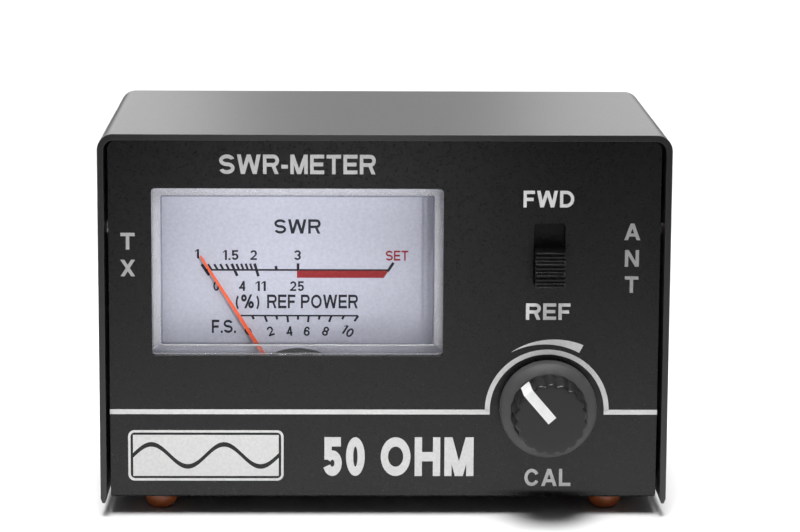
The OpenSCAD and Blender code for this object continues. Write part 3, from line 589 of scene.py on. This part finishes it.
def word(name, text, centre, width, height, y, material, body="case", weight=0.12, turn=0.0):
    """A printed word, fitted to a width and height, that reads from the front.

    weight is the strokes' thickness as a share of the height.
    """
    gap = 0.1 + weight * 0.15
    step = 0.0015 * MM          # crossing strokes lie on each other in thin layers
    bm = bmesh.new()
    x = 0.0
    for char in text:
        w = LETTER_W.get(char, DIGIT_W)
        for i, (row_a, row_b) in enumerate(letter_shapes(char, w, weight)):
            front = step * i - INK
            strip(bm, [(x + u, v) for u, v in row_a], [(x + u, v) for u, v in row_b], front, step * i)
        x += w + gap
    natural_w = x - gap
    to_middle = Matrix.Translation((-natural_w / 2, 0, -0.5))
    fit = Matrix.Diagonal((width / natural_w, 1, height, 1))
    place = Matrix.Translation((centre[0], y, centre[1])) @ Matrix.Rotation(turn, 4, "Y")
    bmesh.ops.transform(bm, matrix=place @ fit @ to_middle, verts=bm.verts)
    return add_piece(name, mesh_from(name, bm), [material], body)


def panel_legends():
    # name, text, x, height above the base, width, height, weight and ink; lengths in millimetres
    rows = [
        ("legend_title", "SWR-METER", -16.0, 62.8, 28.6, 3.6, 0.195, SIDE_INK),
        ("legend_forward", "FWD", 30.05, 56.5, 9.3, 3.1, 0.2, LEGEND_INK),
        ("legend_reflected", "REF", 30.2, 35.5, 8.2, 3.1, 0.2, LEGEND_INK),
        ("legend_calibrate", "CAL", 30.5, 4.05, 8.6, 3.3, 0.195, LEGEND_INK),
        ("legend_impedance", "50 OHM", 2.7, 8.0, 28.0, 7.4, 0.24, LEGEND_INK),
        ("legend_tx_1", "T", -47.15, 48.5, 2.6, 3.1, 0.2, SIDE_INK),
        ("legend_tx_2", "X", -47.15, 43.5, 2.7, 3.1, 0.2, SIDE_INK),
        ("legend_ant_1", "A", 45.5, 50.45, 2.95, 3.1, 0.2, SIDE_INK),
        ("legend_ant_2", "N", 45.5, 45.5, 2.6, 3.1, 0.2, SIDE_INK),
        ("legend_ant_3", "T", 45.5, 40.6, 2.5, 3.1, 0.2, SIDE_INK),
    ]
    for name, text, x, z, width, height, weight, colour in rows:
        centre = (x * MM, BASE_Z + z * MM)
        word(name, text, centre, width * MM, height * MM, PANEL_Y, colour, weight=weight)


def arc(cx, cz, radius, start, end, steps=64):
    """Points on an arc; angles in degrees, clockwise from straight up."""
    points = []
    for i in range(steps + 1):
        share = i / steps
        angle = math.radians(start + (end - start) * share)
        r = radius(share) if callable(radius) else radius
        points.append((cx + r * math.sin(angle), cz + r * math.cos(angle)))
    return points


def panel_lines():
    """The line across the panel with its arch over the knob, and the level wedge above it."""
    line_w = 0.92 * MM
    arch_r = 11.5 * MM
    wedge_r = 12.35 * MM
    wedge_t = 1.6 * MM
    wedge_tip = 0.05 * MM
    wedge_lift = 0.5 * MM       # how much further out its thin end starts
    wedge_span = (-31, 28.3)
    line_z = BASE_Z + 16.5 * MM
    arch_x = KNOB_X - 0.1 * MM
    arch_z = line_z + 0.35 * MM
    half_panel = (panel_hi[0] - panel_lo[0]) / 2
    y = PANEL_Y
    bm = bmesh.new()
    top = line_z + line_w / 2
    bottom = line_z - line_w / 2
    stretches = (
        (-half_panel, arch_x - arch_r + line_w),
        (arch_x + arch_r - line_w, half_panel),
    )
    for start, end in stretches:
        edges = [(start, top), (end, top), (end, bottom), (start, bottom)]
        extrude_loop(bm, edges, y - INK, y)
    inner = arc(arch_x, arch_z, arch_r - line_w, -90, 90)
    outer = arc(arch_x, arch_z, arch_r, -90, 90)
    strip(bm, inner, outer, y - INK, y)
    add_piece("panel_line", mesh_from("panel_line", bm), [LEGEND_INK])

    def inner_r(share):
        return wedge_r + wedge_lift * (1 - share) ** 2

    def outer_r(share):
        return inner_r(share) + wedge_tip + wedge_t * share

    bm = bmesh.new()
    inner = arc(arch_x, arch_z, inner_r, *wedge_span, 40)
    outer = arc(arch_x, arch_z, outer_r, *wedge_span, 40)
    strip(bm, inner, outer, y - INK, y)
    add_piece("level_wedge", mesh_from("level_wedge", bm), [LEGEND_INK])


def wave_badge():
    """A plain badge with a sine wave cut through it."""
    cx = -33 * MM
    cz = BASE_Z + 8.2 * MM
    half_w = 13.5 * MM
    half_h = 3.9 * MM
    gap = 0.45 * MM
    frame_t = 0.45 * MM
    wave_h = 2.1 * MM
    waves = 2
    steps = 72
    bm = bmesh.new()
    xs = [cx + half_w * (2 * i / steps - 1) for i in range(steps + 1)]
    crest = [wave_h * math.sin(2 * math.pi * waves * i / steps) for i in range(steps + 1)]
    y = PANEL_Y
    for side in (1, -1):
        edge = [(x, cz + side * half_h) for x in xs]
        wave = [(x, cz + h + side * gap) for x, h in zip(xs, crest)]
        strip(bm, wave, edge, y - INK, y)
    outer = rounded_rect(cx, cz, 2 * (half_w + 2 * frame_t), 2 * (half_h + 2 * frame_t), 1.2 * MM)
    inner = rounded_rect(cx, cz, 2 * (half_w + frame_t), 2 * (half_h + frame_t), 0.8 * MM)
    strip(bm, inner + inner[:1], outer + outer[:1], y - INK, y)
    add_piece("wave_badge", mesh_from("wave_badge", bm), [LEGEND_INK])


panel_legends()
panel_lines()
wave_badge()

# ---- meter ---------------------------------------------------------------------------------

SWEEP = 33.0                    # half the angle of the dial's scales, in degrees
SWR_LINE = 25.9 * MM            # height of the upper scale's line above the pivot
POWER_LINE = 17.25 * MM         # height of the lower scale's line above the pivot
DIAL_HOLE_R = 11.1 * MM


def on_dial(height, degrees):
    """The point of a level line that the pointer crosses at an angle."""
    return PIVOT_X + height * math.tan(math.radians(degrees)), PIVOT_Z + height


def radial_tick(bm, height, degrees, below, above, width):
    """A tick along the pointer's direction, crossing a level line."""
    x, z = on_dial(height, degrees)
    direction = Vector((math.sin(math.radians(degrees)), math.cos(math.radians(degrees))))
    middle = Vector((x, z))
    loop = bar_loop(middle - direction * below, middle + direction * above, width)
    extrude_loop(bm, loop, DIAL_Y - 2 * INK, DIAL_Y)


def dial_plate():
    outline = rounded_rect(
        (dial_lo[0] + dial_hi[0]) / 2,
        (dial_lo[2] + dial_hi[2]) / 2,
        dial_hi[0] - dial_lo[0],
        dial_hi[2] - dial_lo[2],
        0.6 * MM,
    )
    hole = arc(PIVOT_X, PIVOT_Z, DIAL_HOLE_R, 0, 360, 96)[:-1]
    mesh = plate("dial_face_plate", outline, [hole], dial_lo[1], dial_hi[1], 0.04 * MM)
    add_piece("dial_face_plate", mesh, [DIAL_FACE], replaces=["dial_plate"])


def swr_scale():
    thin = 0.4 * MM
    thick = 0.5 * MM
    tick = 1.25 * MM
    marks = {"1": -33.6, "1.5": -24.5, "2": -16.6, "2.5": -8.8, "3": 0.0}
    bar_t = 1.35 * MM
    bm = bmesh.new()
    left = on_dial(SWR_LINE, marks["1"])
    right = on_dial(SWR_LINE, SWEEP)
    extrude_loop(bm, bar_loop(left, right, 0.34 * MM), DIAL_Y - INK, DIAL_Y)
    radial_tick(bm, SWR_LINE, marks["1"], tick, tick, thick)
    for start, end in (("1", "1.5"), ("1.5", "2")):
        for i in range(1, 5):
            degrees = marks[start] + (marks[end] - marks[start]) * i / 5
            radial_tick(bm, SWR_LINE, degrees, 0, tick, thin)
    for name in ("1.5", "2"):
        radial_tick(bm, SWR_LINE, marks[name], tick, tick, thick)
    radial_tick(bm, SWR_LINE, marks["2.5"], 0, 0.6 * tick, thick)
    radial_tick(bm, SWR_LINE, marks["3"], 0, tick, thick)
    radial_tick(bm, SWR_LINE, SWEEP, 0.3 * MM, 1.35 * tick, thick)
    add_piece("dial_swr_scale", mesh_from("dial_swr_scale", bm), [DIAL_BLACK])
    bm = bmesh.new()
    end_x = right[0] - bar_t * math.tan(math.radians(SWEEP))
    top = PIVOT_Z + SWR_LINE - 0.12 * MM
    start_x = PIVOT_X - 0.2 * MM
    loop = [(start_x, top), (right[0], top), (end_x, top - bar_t), (start_x, top - bar_t)]
    extrude_loop(bm, loop, DIAL_Y - 1.5 * INK, DIAL_Y)
    add_piece("dial_red_band", mesh_from("dial_red_band", bm), [DIAL_RED])


def power_scale():
    bm = bmesh.new()
    left = on_dial(POWER_LINE, -SWEEP)
    right = on_dial(POWER_LINE, SWEEP)
    extrude_loop(bm, bar_loop(left, right, 0.3 * MM), DIAL_Y - INK, DIAL_Y)
    for i in range(11):
        degrees = SWEEP * (i / 5 - 1)
        length = (0.75 if i % 2 else 1.25) * MM
        radial_tick(bm, POWER_LINE, degrees, length, 0, 0.4 * MM)
    add_piece("dial_power_scale", mesh_from("dial_power_scale", bm), [DIAL_BLACK])
    reach = POWER_LINE - 2.95 * MM
    for i in range(0, 11, 2):
        degrees = SWEEP * (i / 5 - 1)
        x = PIVOT_X + reach * math.tan(math.radians(degrees))
        width = (2.2 if i == 10 else 1.15) * MM
        word(f"dial_power_{i}", str(i), (x, PIVOT_Z + reach), width, 1.8 * MM, DIAL_Y, DIAL_BLACK,
             weight=0.18, turn=math.radians(degrees))


def dial_words():
    # name, text, x and z from the pivot, width, height and ink; lengths in millimetres
    rows = [
        ("title", "SWR", -0.1, 34.1, 8.6, 2.7, DIAL_BLACK),
        ("swr_1", "1", -18.75, 28.9, 0.75, 1.75, DIAL_BLACK),
        ("swr_1_5", "1.5", -12.5, 28.7, 2.9, 1.85, DIAL_BLACK),
        ("swr_2", "2", -8.25, 28.7, 1.2, 1.85, DIAL_BLACK),
        ("swr_3", "3", -0.1, 28.7, 1.25, 1.85, DIAL_BLACK),
        ("set", "SET", 18.4, 28.65, 4.2, 1.9, DIAL_RED),
        ("refl_0", "0", -15.2, 22.85, 1.15, 1.85, DIAL_BLACK),
        ("refl_4", "4", -10.4, 22.85, 1.2, 1.85, DIAL_BLACK),
        ("refl_11", "11", -6.95, 22.85, 1.9, 1.85, DIAL_BLACK),
        ("refl_25", "25", -0.2, 22.85, 2.6, 1.85, DIAL_BLACK),
        ("refl_percent", "(%)", -9.4, 19.95, 4.4, 2.65, DIAL_BLACK),
        ("refl_title", "REF POWER", 2.7, 19.95, 16.9, 2.6, DIAL_BLACK),
        ("full_scale", "F.S.", -13.85, 15.2, 4.4, 2.5, DIAL_BLACK),
    ]
    for name, text, x, z, width, height, material in rows:
        centre = (PIVOT_X + x * MM, PIVOT_Z + z * MM)
        word("dial_" + name, text, centre, width * MM, height * MM, DIAL_Y, material, weight=0.18)


def meter_window():
    """The clear moulding: a flange behind the panel and a raised hollow pane in the cut-out."""
    pane_w = 53.35 * MM
    pane_h = 30.95 * MM
    wall = 1.45 * MM
    edge_shade_t = 0.25 * MM
    painted_glint_h = 0.22 * MM
    opening_w = pane_w - 2 * wall
    opening_h = pane_h - 2 * wall
    centre = (PIVOT_X, PIVOT_Z + 26.6 * MM)
    flange_y = PANEL_Y + 1.2 * MM
    pane_back = WINDOW_Y + 1.4 * MM
    outer = rounded_rect(*centre, pane_w, pane_h, 0.7 * MM)
    inner = rounded_rect(*centre, opening_w, opening_h, 0.4 * MM)
    edge_shade_loop = rounded_rect(*centre, opening_w - 2 * edge_shade_t, opening_h - 2 * edge_shade_t, 0.3 * MM)
    mesh = plate("meter_pane", outer, [], WINDOW_Y, pane_back, 0.25 * MM)
    add_piece("meter_pane", mesh, [WINDOW_CLEAR], replaces=["meter_window"])
    half_w = opening_w / 2
    low_z = centre[1] - opening_h / 2
    mesh = plate("meter_pane_wall", outer, [inner], pane_back, WINDOW_SEAM_Y, 0.08 * MM)
    # painted shade: faces below the opening get the darker copy of the wall tint
    for face in mesh.polygons:
        face.material_index = int(face.center.z < low_z)
    walls = [WINDOW_WALL, WINDOW_WALL_PAINTED_SHADE]
    add_piece("meter_pane_wall", mesh, walls, replaces=["meter_window"])
    # painted shade: a dark band round the inner edge of the pane, standing in for the edge seen dark
    # through the clear plastic
    bm = bmesh.new()
    strip(bm, edge_shade_loop + edge_shade_loop[:1], inner + inner[:1], pane_back + 0.3 * MM, WINDOW_SEAM_Y)
    mesh = mesh_from("meter_pane_painted_edge_shade", bm)
    add_piece("meter_pane_painted_edge_shade", mesh, [WINDOW_PAINTED_EDGE_SHADE], replaces=["meter_window"])
    # painted glint: a bright strip along the bottom of the opening, in place of the highlight the
    # clear edge catches
    bm = bmesh.new()
    painted_glint_loop = [(centre[0] - half_w, low_z), (centre[0] + half_w, low_z)]
    painted_glint_loop += [(x, z + painted_glint_h) for x, z in reversed(painted_glint_loop)]
    extrude_loop(bm, painted_glint_loop, pane_back + 0.02 * MM, pane_back + 0.28 * MM)
    mesh = mesh_from("meter_pane_painted_glint", bm)
    add_piece("meter_pane_painted_glint", mesh, [PAINTED_GLINT_SHADER], replaces=["meter_window"])
    flange = rounded_rect(
        (window_lo[0] + window_hi[0]) / 2,
        (window_lo[2] + window_hi[2]) / 2,
        window_hi[0] - window_lo[0],
        window_hi[2] - window_lo[2],
        1.5 * MM,
    )
    mesh = plate("meter_flange", flange, [outer], flange_y, WINDOW_SEAM_Y, 0.1 * MM)
    add_piece("meter_flange", mesh, [WINDOW_WALL], replaces=["meter_window"])


def pointer():
    """A thin tapered blade on a hub, with a tail and two cross arms, at its rest angle."""
    joint = next(j for j in frame["joints"] if j["name"] == "needle_swing")
    x0, _, z0 = joint["pos_m"]
    front = pointer_lo[1]
    back = pointer_hi[1]
    rest = -math.radians(32.2)
    hub_r = 1.6 * MM
    hub_bore = 0.48 * MM
    arm_end = 5 * MM
    arm_half = 0.3 * MM
    turn = Matrix.Translation((x0, 0, z0)) @ Matrix.Rotation(rest, 4, "Y")
    bm = bmesh.new()
    blade = [(-0.43, 1.3), (-0.21, 33.2), (-0.1, 34.05), (0.1, 34.05), (0.21, 33.2), (0.43, 1.3)]
    tail = [(-0.38, -8), (-0.38, -1.3), (0.38, -1.3), (0.38, -8)]
    loops = [[(x * MM, z * MM) for x, z in outline] for outline in (blade, tail)]
    for side in (-1, 1):
        root_x = side * hub_r * 0.8
        end_x = side * arm_end
        loops.append([(root_x, -arm_half), (end_x, -arm_half), (end_x, arm_half), (root_x, arm_half)])
    for loop in loops:
        extrude_loop(bm, loop, front + 0.05 * MM, back - 0.05 * MM)
    hub = [(hub_bore, front), (hub_r, front), (hub_r, back), (hub_bore, back)]
    lathe(bm, hub, (0, 0, 0), 48, closed=True)
    bmesh.ops.transform(bm, matrix=turn, verts=bm.verts)
    mesh = mesh_from("needle_blade", bm)
    obj = add_piece("needle_blade", mesh, [POINTER_RED], "needle", ["pointer"])
    round_edges(obj, 0.05 * MM, 2)


dial_plate()
swr_scale()
power_scale()
dial_words()
meter_window()
pointer()

# ---- knob ----------------------------------------------------------------------------------

FLUTES = 18
INDICATOR_REST = -math.radians(40.6)
SKIRT_T = 4.2 * MM
GRIP_EDGE_R = 6.65 * MM
GRIP_BASE_R = 7.15 * MM


def knob_profile():
    """(radius, depth) points from the middle of the face, over grip and skirt, into the bore."""
    length = (knob_hi[1] - knob_lo[1]) / MM
    grip_end = length - SKIRT_T / MM
    edge_r = GRIP_EDGE_R / MM
    base_r = GRIP_BASE_R / MM
    steps = 10
    face = [(0, 0.02), (3, 0.02), (5, 0.02), (edge_r - 0.5, 0.02)]
    edge = [(edge_r - 0.28, 0.03), (edge_r - 0.1, 0.12), (edge_r, 0.3)]
    grip = []
    for i in range(1, steps + 1):
        share = i / steps
        grip.append((edge_r + (base_r - edge_r) * share, 0.3 + (grip_end - 0.3) * share))
    skirt = [
        (7.25, grip_end + 0.03),
        (8.55, grip_end + 0.95),
        (8.8, grip_end + 1.2),
        (8.93, grip_end + 1.6),
    ]
    rim = [(8.98, grip_end + 2.4), (8.98, length - 0.25), (8.85, length - 0.03), (8.6, length)]
    hollow = [
        (6.8, length),
        (6.6, length - 0.2),
        (6.6, length - 3.5),
        (3.2, length - 3.6),
        (3.06, length - 3.8),
        (3.06, 2.6),
        (0, 2.6),
    ]
    return [(r * MM, y * MM) for r, y in face + edge + grip + skirt + rim + hollow]


def knob():
    flute_depth = 0.42 * MM
    first = 3                   # the profile's points between which the flutes run
    last = 16

    def fluted(i, angle, radius, distance):
        if i < first or i > last:
            return radius
        wave = 0.5 + 0.5 * math.cos((angle - INDICATOR_REST) * FLUTES)
        fade = min(1, (last + 1 - i) / 2)
        return radius - flute_depth * (1 - wave ** 0.55) * fade

    bm = bmesh.new()
    lathe(bm, knob_profile(), (KNOB_X, knob_lo[1], KNOB_Z), FLUTES * 16, shape=fluted)
    mesh = mesh_from("cal_knob", bm)
    obj = add_piece("cal_knob", mesh, [KNOB_PLASTIC, KNOB_SKIRT_PAINTED_SHEEN], "knob", ["knob_body"])
    # painted sheen: faces of the skirt take the lighter copy of the knob plastic
    for face in mesh.polygons:
        face.material_index = int(face.center.y > knob_hi[1] - SKIRT_T)
    smooth(obj, 40)


def knob_indicator():
    """The white bar across half the face and down the side of the grip."""
    half_w = 0.925 * MM
    drop = 5.4 * MM
    proud = 0.04 * MM
    sunk = 0.3 * MM
    edge_r = GRIP_EDGE_R / MM
    path = [(-0.3, 0.045), (2, 0.045), (4, 0.045), (edge_r - 0.5, 0.045), (edge_r - 0.28, 0.07),
            (edge_r - 0.1, 0.14), (edge_r, 0.32), (edge_r + 0.07, 1.2), (edge_r + 0.4, drop / MM)]
    path = [(r * MM, y * MM) for r, y in path]
    bm = bmesh.new()
    rows = []
    for i, (r, y) in enumerate(path):
        before = Vector(path[max(i - 1, 0)])
        after = Vector(path[min(i + 1, len(path) - 1)])
        along = (after - before).normalized()
        normal = Vector((along.y, -along.x))
        top = Vector((r, y)) + normal * proud
        low = Vector((r, y)) - normal * sunk
        rows.append([(-half_w, *top), (half_w, *top), (half_w, *low), (-half_w, *low)])
    rings = [[bm.verts.new((x, y, r)) for x, r, y in row] for row in rows]
    for a, b in zip(rings, rings[1:]):
        for j in range(4):
            bm.faces.new((a[j], a[(j + 1) % 4], b[(j + 1) % 4], b[j]))
    bm.faces.new(rings[0])
    bm.faces.new(list(reversed(rings[-1])))
    centre = Matrix.Translation((KNOB_X, knob_lo[1], KNOB_Z))
    turn = centre @ Matrix.Rotation(INDICATOR_REST, 4, "Y")
    bmesh.ops.transform(bm, matrix=turn, verts=bm.verts)
    mesh = mesh_from("cal_pointer_line", bm)
    obj = add_piece("cal_pointer_line", mesh, [KNOB_WHITE], "knob",
                    ["knob_indicator"])
    round_edges(obj, 0.06 * MM, 2)


knob()
knob_indicator()

# ---- slide switch --------------------------------------------------------------------------


def switch_slider():
    """The ribbed slider: four ridges with hollow grooves between them, on a wide carriage."""
    width = 5.5 * MM
    height = 6.6 * MM
    ridge = 0.24 * MM
    ridges = 4
    depth = 0.9 * MM
    steps = 6
    middle_x = (slider_lo[0] + slider_hi[0]) / 2
    middle_z = (slider_lo[2] + slider_hi[2]) / 2
    front = slider_lo[1]
    carriage_t = 2.2 * MM
    neck_back = slider_hi[1] - carriage_t
    pitch = (height - ridge) / (ridges - 1)
    face = []
    for i in range(ridges):
        z = i * pitch
        face += [(z, front), (z + ridge, front)]
        if i < ridges - 1:
            for k in range(1, steps):
                share = k / steps
                hollow = depth * math.sin(math.pi * share) ** 0.6
                face.append((z + ridge + (pitch - ridge) * share, front + hollow))
    outline = [(z - height / 2, y) for z, y in face]
    outline += [(height / 2, neck_back), (-height / 2, neck_back)]
    bm = bmesh.new()
    left = [bm.verts.new((middle_x - width / 2, y, middle_z + z)) for z, y in outline]
    right = [bm.verts.new((middle_x + width / 2, y, middle_z + z)) for z, y in outline]
    bm.faces.new(left)
    bm.faces.new(list(reversed(right)))
    for i in range(len(outline)):
        k = (i + 1) % len(outline)
        bm.faces.new((left[i], right[i], right[k], left[k]))
    carriage_w = slider_hi[0] - slider_lo[0]
    carriage_h = slider_hi[2] - slider_lo[2]
    carriage = rounded_rect(middle_x, middle_z, carriage_w, carriage_h, 0.6 * MM)
    extrude_loop(bm, carriage, neck_back, slider_hi[1])
    mesh = mesh_from("range_slider", bm)
    obj = add_piece("range_slider", mesh, [SLIDER_PLASTIC], "slider", ["switch_slider"])
    round_edges(obj, 0.06 * MM, 2, 40)


switch_slider()

# ---- feet ----------------------------------------------------------------------------------


def foot(node):
    """A soft dome with a small flat at its tip and a thin skirt where it is stuck on."""
    low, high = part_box(node)
    height = high[2] - low[2]
    radius = (high[0] - low[0]) / 2 - 0.02 * MM
    x = (low[0] + high[0]) / 2
    y = (low[1] + high[1]) / 2
    steps = 14
    tip = 1.1 * MM
    dome_h = height - 0.5 * MM
    profile = [(0, 0), (tip, 0)]
    for i in range(1, steps + 1):
        angle = math.pi / 2 * i / steps
        r = tip + (radius - tip) * math.sin(angle)
        profile.append((r, dome_h * (1 - math.cos(angle))))
    profile += [(radius, height - 0.1 * MM), (radius - 0.1 * MM, height), (0, height)]
    bm = bmesh.new()
    lathe(bm, profile, (0, 0, 0), 64)
    stand = Matrix.Translation((x, y, low[2])) @ Matrix.Rotation(math.pi / 2, 4, "X")
    bmesh.ops.transform(bm, matrix=stand, verts=bm.verts)
    mesh = mesh_from(node + "_dome", bm)
    obj = add_piece(node + "_dome", mesh, [AMBER], replaces=[node])
    smooth(obj, 50)


for foot_node in ("foot_front_left", "foot_front_right", "foot_rear_left", "foot_rear_right"):
    foot(foot_node)

# ---- coax sockets --------------------------------------------------------------------------

THREAD_PITCH = 25.4 * MM / 24
FLANGE_T = 2 * MM
FLANGE_HOLE = 9.1 * MM          # from the socket's middle to its screws, across and up


def socket_shell(side):
    """Square flange with four holes, and a barrel with a true helical thread and a bevelled rim."""
    node = side + "_socket_shell"
    low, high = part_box(node)
    x = (low[0] + high[0]) / 2
    z = (low[2] + high[2]) / 2
    mouth = high[1] - REAR_Y
    crest = 7.93 * MM
    root = 0.62 * MM            # depth of the thread
    relief = crest - 0.8 * MM   # radius of the plain neck between flange and thread
    boss = 6.0 * MM             # radius of the part that goes through the rear panel
    boss_end = -5 * MM
    bore = 6.3 * MM
    seat = 4.9 * MM
    recess = 6.7 * MM
    flange_bore = 6.9 * MM
    screw_hole = 1.6 * MM
    thread_from = FLANGE_T + 1.2 * MM
    thread_to = mouth - 0.9 * MM
    stations = 240
    outer = [(boss, boss_end), (boss, 0.2 * MM), (relief, 0.4 * MM), (relief, thread_from)]
    threaded_first = len(outer)
    for i in range(stations + 1):
        outer.append((crest, thread_from + (thread_to - thread_from) * i / stations))
    threaded_last = len(outer) - 1
    rim = [
        (crest - 0.75 * MM, mouth - 0.35 * MM),
        (crest - 0.95 * MM, mouth - 0.05 * MM),
        (crest - 1.1 * MM, mouth),
        (bore + 0.15 * MM, mouth),
        (bore, mouth - 0.15 * MM),
    ]
    inner = [(bore, mouth - recess), (seat, mouth - recess), (seat, boss_end)]

    def threaded(i, angle, radius, distance):
        if i < threaded_first or i > threaded_last:
            return radius
        turn = (distance / THREAD_PITCH + angle / (2 * math.pi)) % 1
        tooth = 0.5 + 0.5 * math.cos(2 * math.pi * turn)
        from_end = min(distance - thread_from, thread_to - distance)
        full = max(0, min(1, from_end / THREAD_PITCH))
        return radius - root * (1 - tooth * full) - (1 - full) * 0.1 * MM

    bm = bmesh.new()
    lathe(bm, outer + rim + inner, (x, REAR_Y, z), 96, closed=True, shape=threaded)
    mesh = mesh_from(side + "_barrel", bm)
    obj = add_piece(side + "_barrel", mesh, [NICKEL], replaces=[node])
    smooth(obj, 40)
    holes = [arc(x, z, flange_bore, 0, 360, 64)[:-1]]
    for dx in (-FLANGE_HOLE, FLANGE_HOLE):
        for dz in (-FLANGE_HOLE, FLANGE_HOLE):
            holes.append(arc(x + dx, z + dz, screw_hole, 0, 360, 32)[:-1])
    outline = rounded_rect(x, z, high[0] - low[0], high[2] - low[2], 1.5 * MM)
    mesh = plate(side + "_flange", outline, holes, REAR_Y + 0.001 * MM, REAR_Y + FLANGE_T, 0.2 * MM)
    add_piece(side + "_flange", mesh, [NICKEL], replaces=[node])


def socket_insulator(side):
    """A stepped bush round the centre contact, with a shallow ring groove in its face."""
    node = side + "_socket_insulator"
    low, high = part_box(node)
    x = (low[0] + high[0]) / 2
    z = (low[2] + high[2]) / 2
    start = low[1] - REAR_Y
    end = high[1] - REAR_Y
    collar = end - 1.2 * MM
    bore = 2.93 * MM
    groove = end - 0.25 * MM
    outer = [
        (4.88 * MM, start),
        (4.88 * MM, collar),
        (6.26 * MM, collar),
        (6.28 * MM, end - 0.3 * MM),
        (6.05 * MM, end),
    ]
    face = [(4.9 * MM, end), (4.7 * MM, groove), (3.6 * MM, groove), (3.4 * MM, end)]
    inner = [(bore + 0.15 * MM, end), (bore, end - 0.15 * MM), (bore, start)]
    bm = bmesh.new()
    lathe(bm, outer + face + inner, (x, REAR_Y, z), 96, closed=True)
    mesh = mesh_from(side + "_dielectric", bm)
    obj = add_piece(side + "_dielectric", mesh, [PTFE], replaces=[node])
    smooth(obj, 30)


for socket_side in ("tx", "ant"):
    socket_shell(socket_side)
    socket_insulator(socket_side)

# ---- stage, light and camera ---------------------------------------------------------------


def floor():
    bm = bmesh.new()
    bmesh.ops.create_circle(bm, cap_ends=True, radius=3.0, segments=96)
    mesh = mesh_from("floor", bm)
    obj = bpy.data.objects.new("floor", mesh)
    bpy.context.scene.collection.objects.link(obj)
    shader = Shader("floor_white", (0.9, 0.9, 0.9), 0.7)
    mesh.materials.append(shader.vary_colour(0.4, 0.01).material)


def area_light(name, place, target, size, power, shape="RECTANGLE", spread=180):
    """A flat lamp of power watts that faces a target; spread is its cone in degrees."""
    data = bpy.data.lights.new(name, "AREA")
    data.shape = shape
    data.size, data.size_y = size
    data.energy = power
    data.spread = math.radians(spread)
    obj = bpy.data.objects.new(name, data)
    bpy.context.scene.collection.objects.link(obj)
    obj.location = place
    obj.rotation_euler = (Vector(target) - Vector(place)).to_track_quat("-Z", "Y").to_euler()


def lights():
    """A dim room, lamps over the table, a key and a dial light in front, cards behind."""
    world = bpy.data.worlds.new("studio")
    bpy.context.scene.world = world
    world.use_nodes = True
    background = world.node_tree.nodes["Background"]
    background.inputs["Color"].default_value = (0.97, 0.98, 1.0, 1)
    background.inputs["Strength"].default_value = 0.08
    area_light("table_light", (0, 0.5, 0.8), (0, 0.5, 0), (1.7, 1.5), 9, spread=40)
    area_light("far_table_light", (0, 2.2, 0.8), (0, 2.2, 0), (3.0, 1.9), 20, spread=40)
    area_light("front_key", (-0.03, -0.34, 0.72), (0, -0.05, 0.02), (0.28, 0.28), 0.22, spread=34)
    area_light("dial_fill", (0.27, -0.67, 0.14), (-0.018, -0.03, 0.057), (0.05, 0.05), 0.0075,
               spread=4.6)
    area_light("back_card", (0, 1.5, 0.45), (0, 0, 0.1), (1.6, 0.5), 1.85)
    area_light("left_card", (-0.19, 1.2, 0.35), (-0.02, 0, 0.07), (0.26, 0.5), 0.31, "ELLIPSE")
    area_light("right_card", (0.215, 1.2, 0.35), (0.02, 0, 0.07), (0.26, 0.5), 0.27, "ELLIPSE")


def camera():
    """Stands in front, a little left of the middle, and looks down on the panel."""
    data = bpy.data.cameras.new("camera")
    data.sensor_width = 36
    data.lens = 141.2
    data.clip_start = 0.02
    obj = bpy.data.objects.new("camera", data)
    bpy.context.scene.collection.objects.link(obj)
    aside = -8.82 * MM
    distance = 566.3 * MM
    height = 145.1 * MM
    yaw = 0.0205
    pitch = 0.1762
    roll = 0.0057
    level = math.cos(pitch)
    forward = Vector((math.sin(yaw) * level, math.cos(yaw) * level, -math.sin(pitch)))
    right = Vector((math.cos(yaw), -math.sin(yaw), 0))
    up = right.cross(forward)
    rolled_right = math.cos(roll) * right + math.sin(roll) * up
    rolled_up = math.cos(roll) * up - math.sin(roll) * right
    matrix = Matrix((rolled_right, rolled_up, -forward)).transposed().to_4x4()
    place = Vector((aside, cover_lo[1] - distance, BASE_Z + height))
    obj.matrix_world = Matrix.Translation(place) @ matrix
    bpy.context.scene.camera = obj


floor()
lights()
camera()
bpy.context.scene.view_settings.view_transform = "Standard"
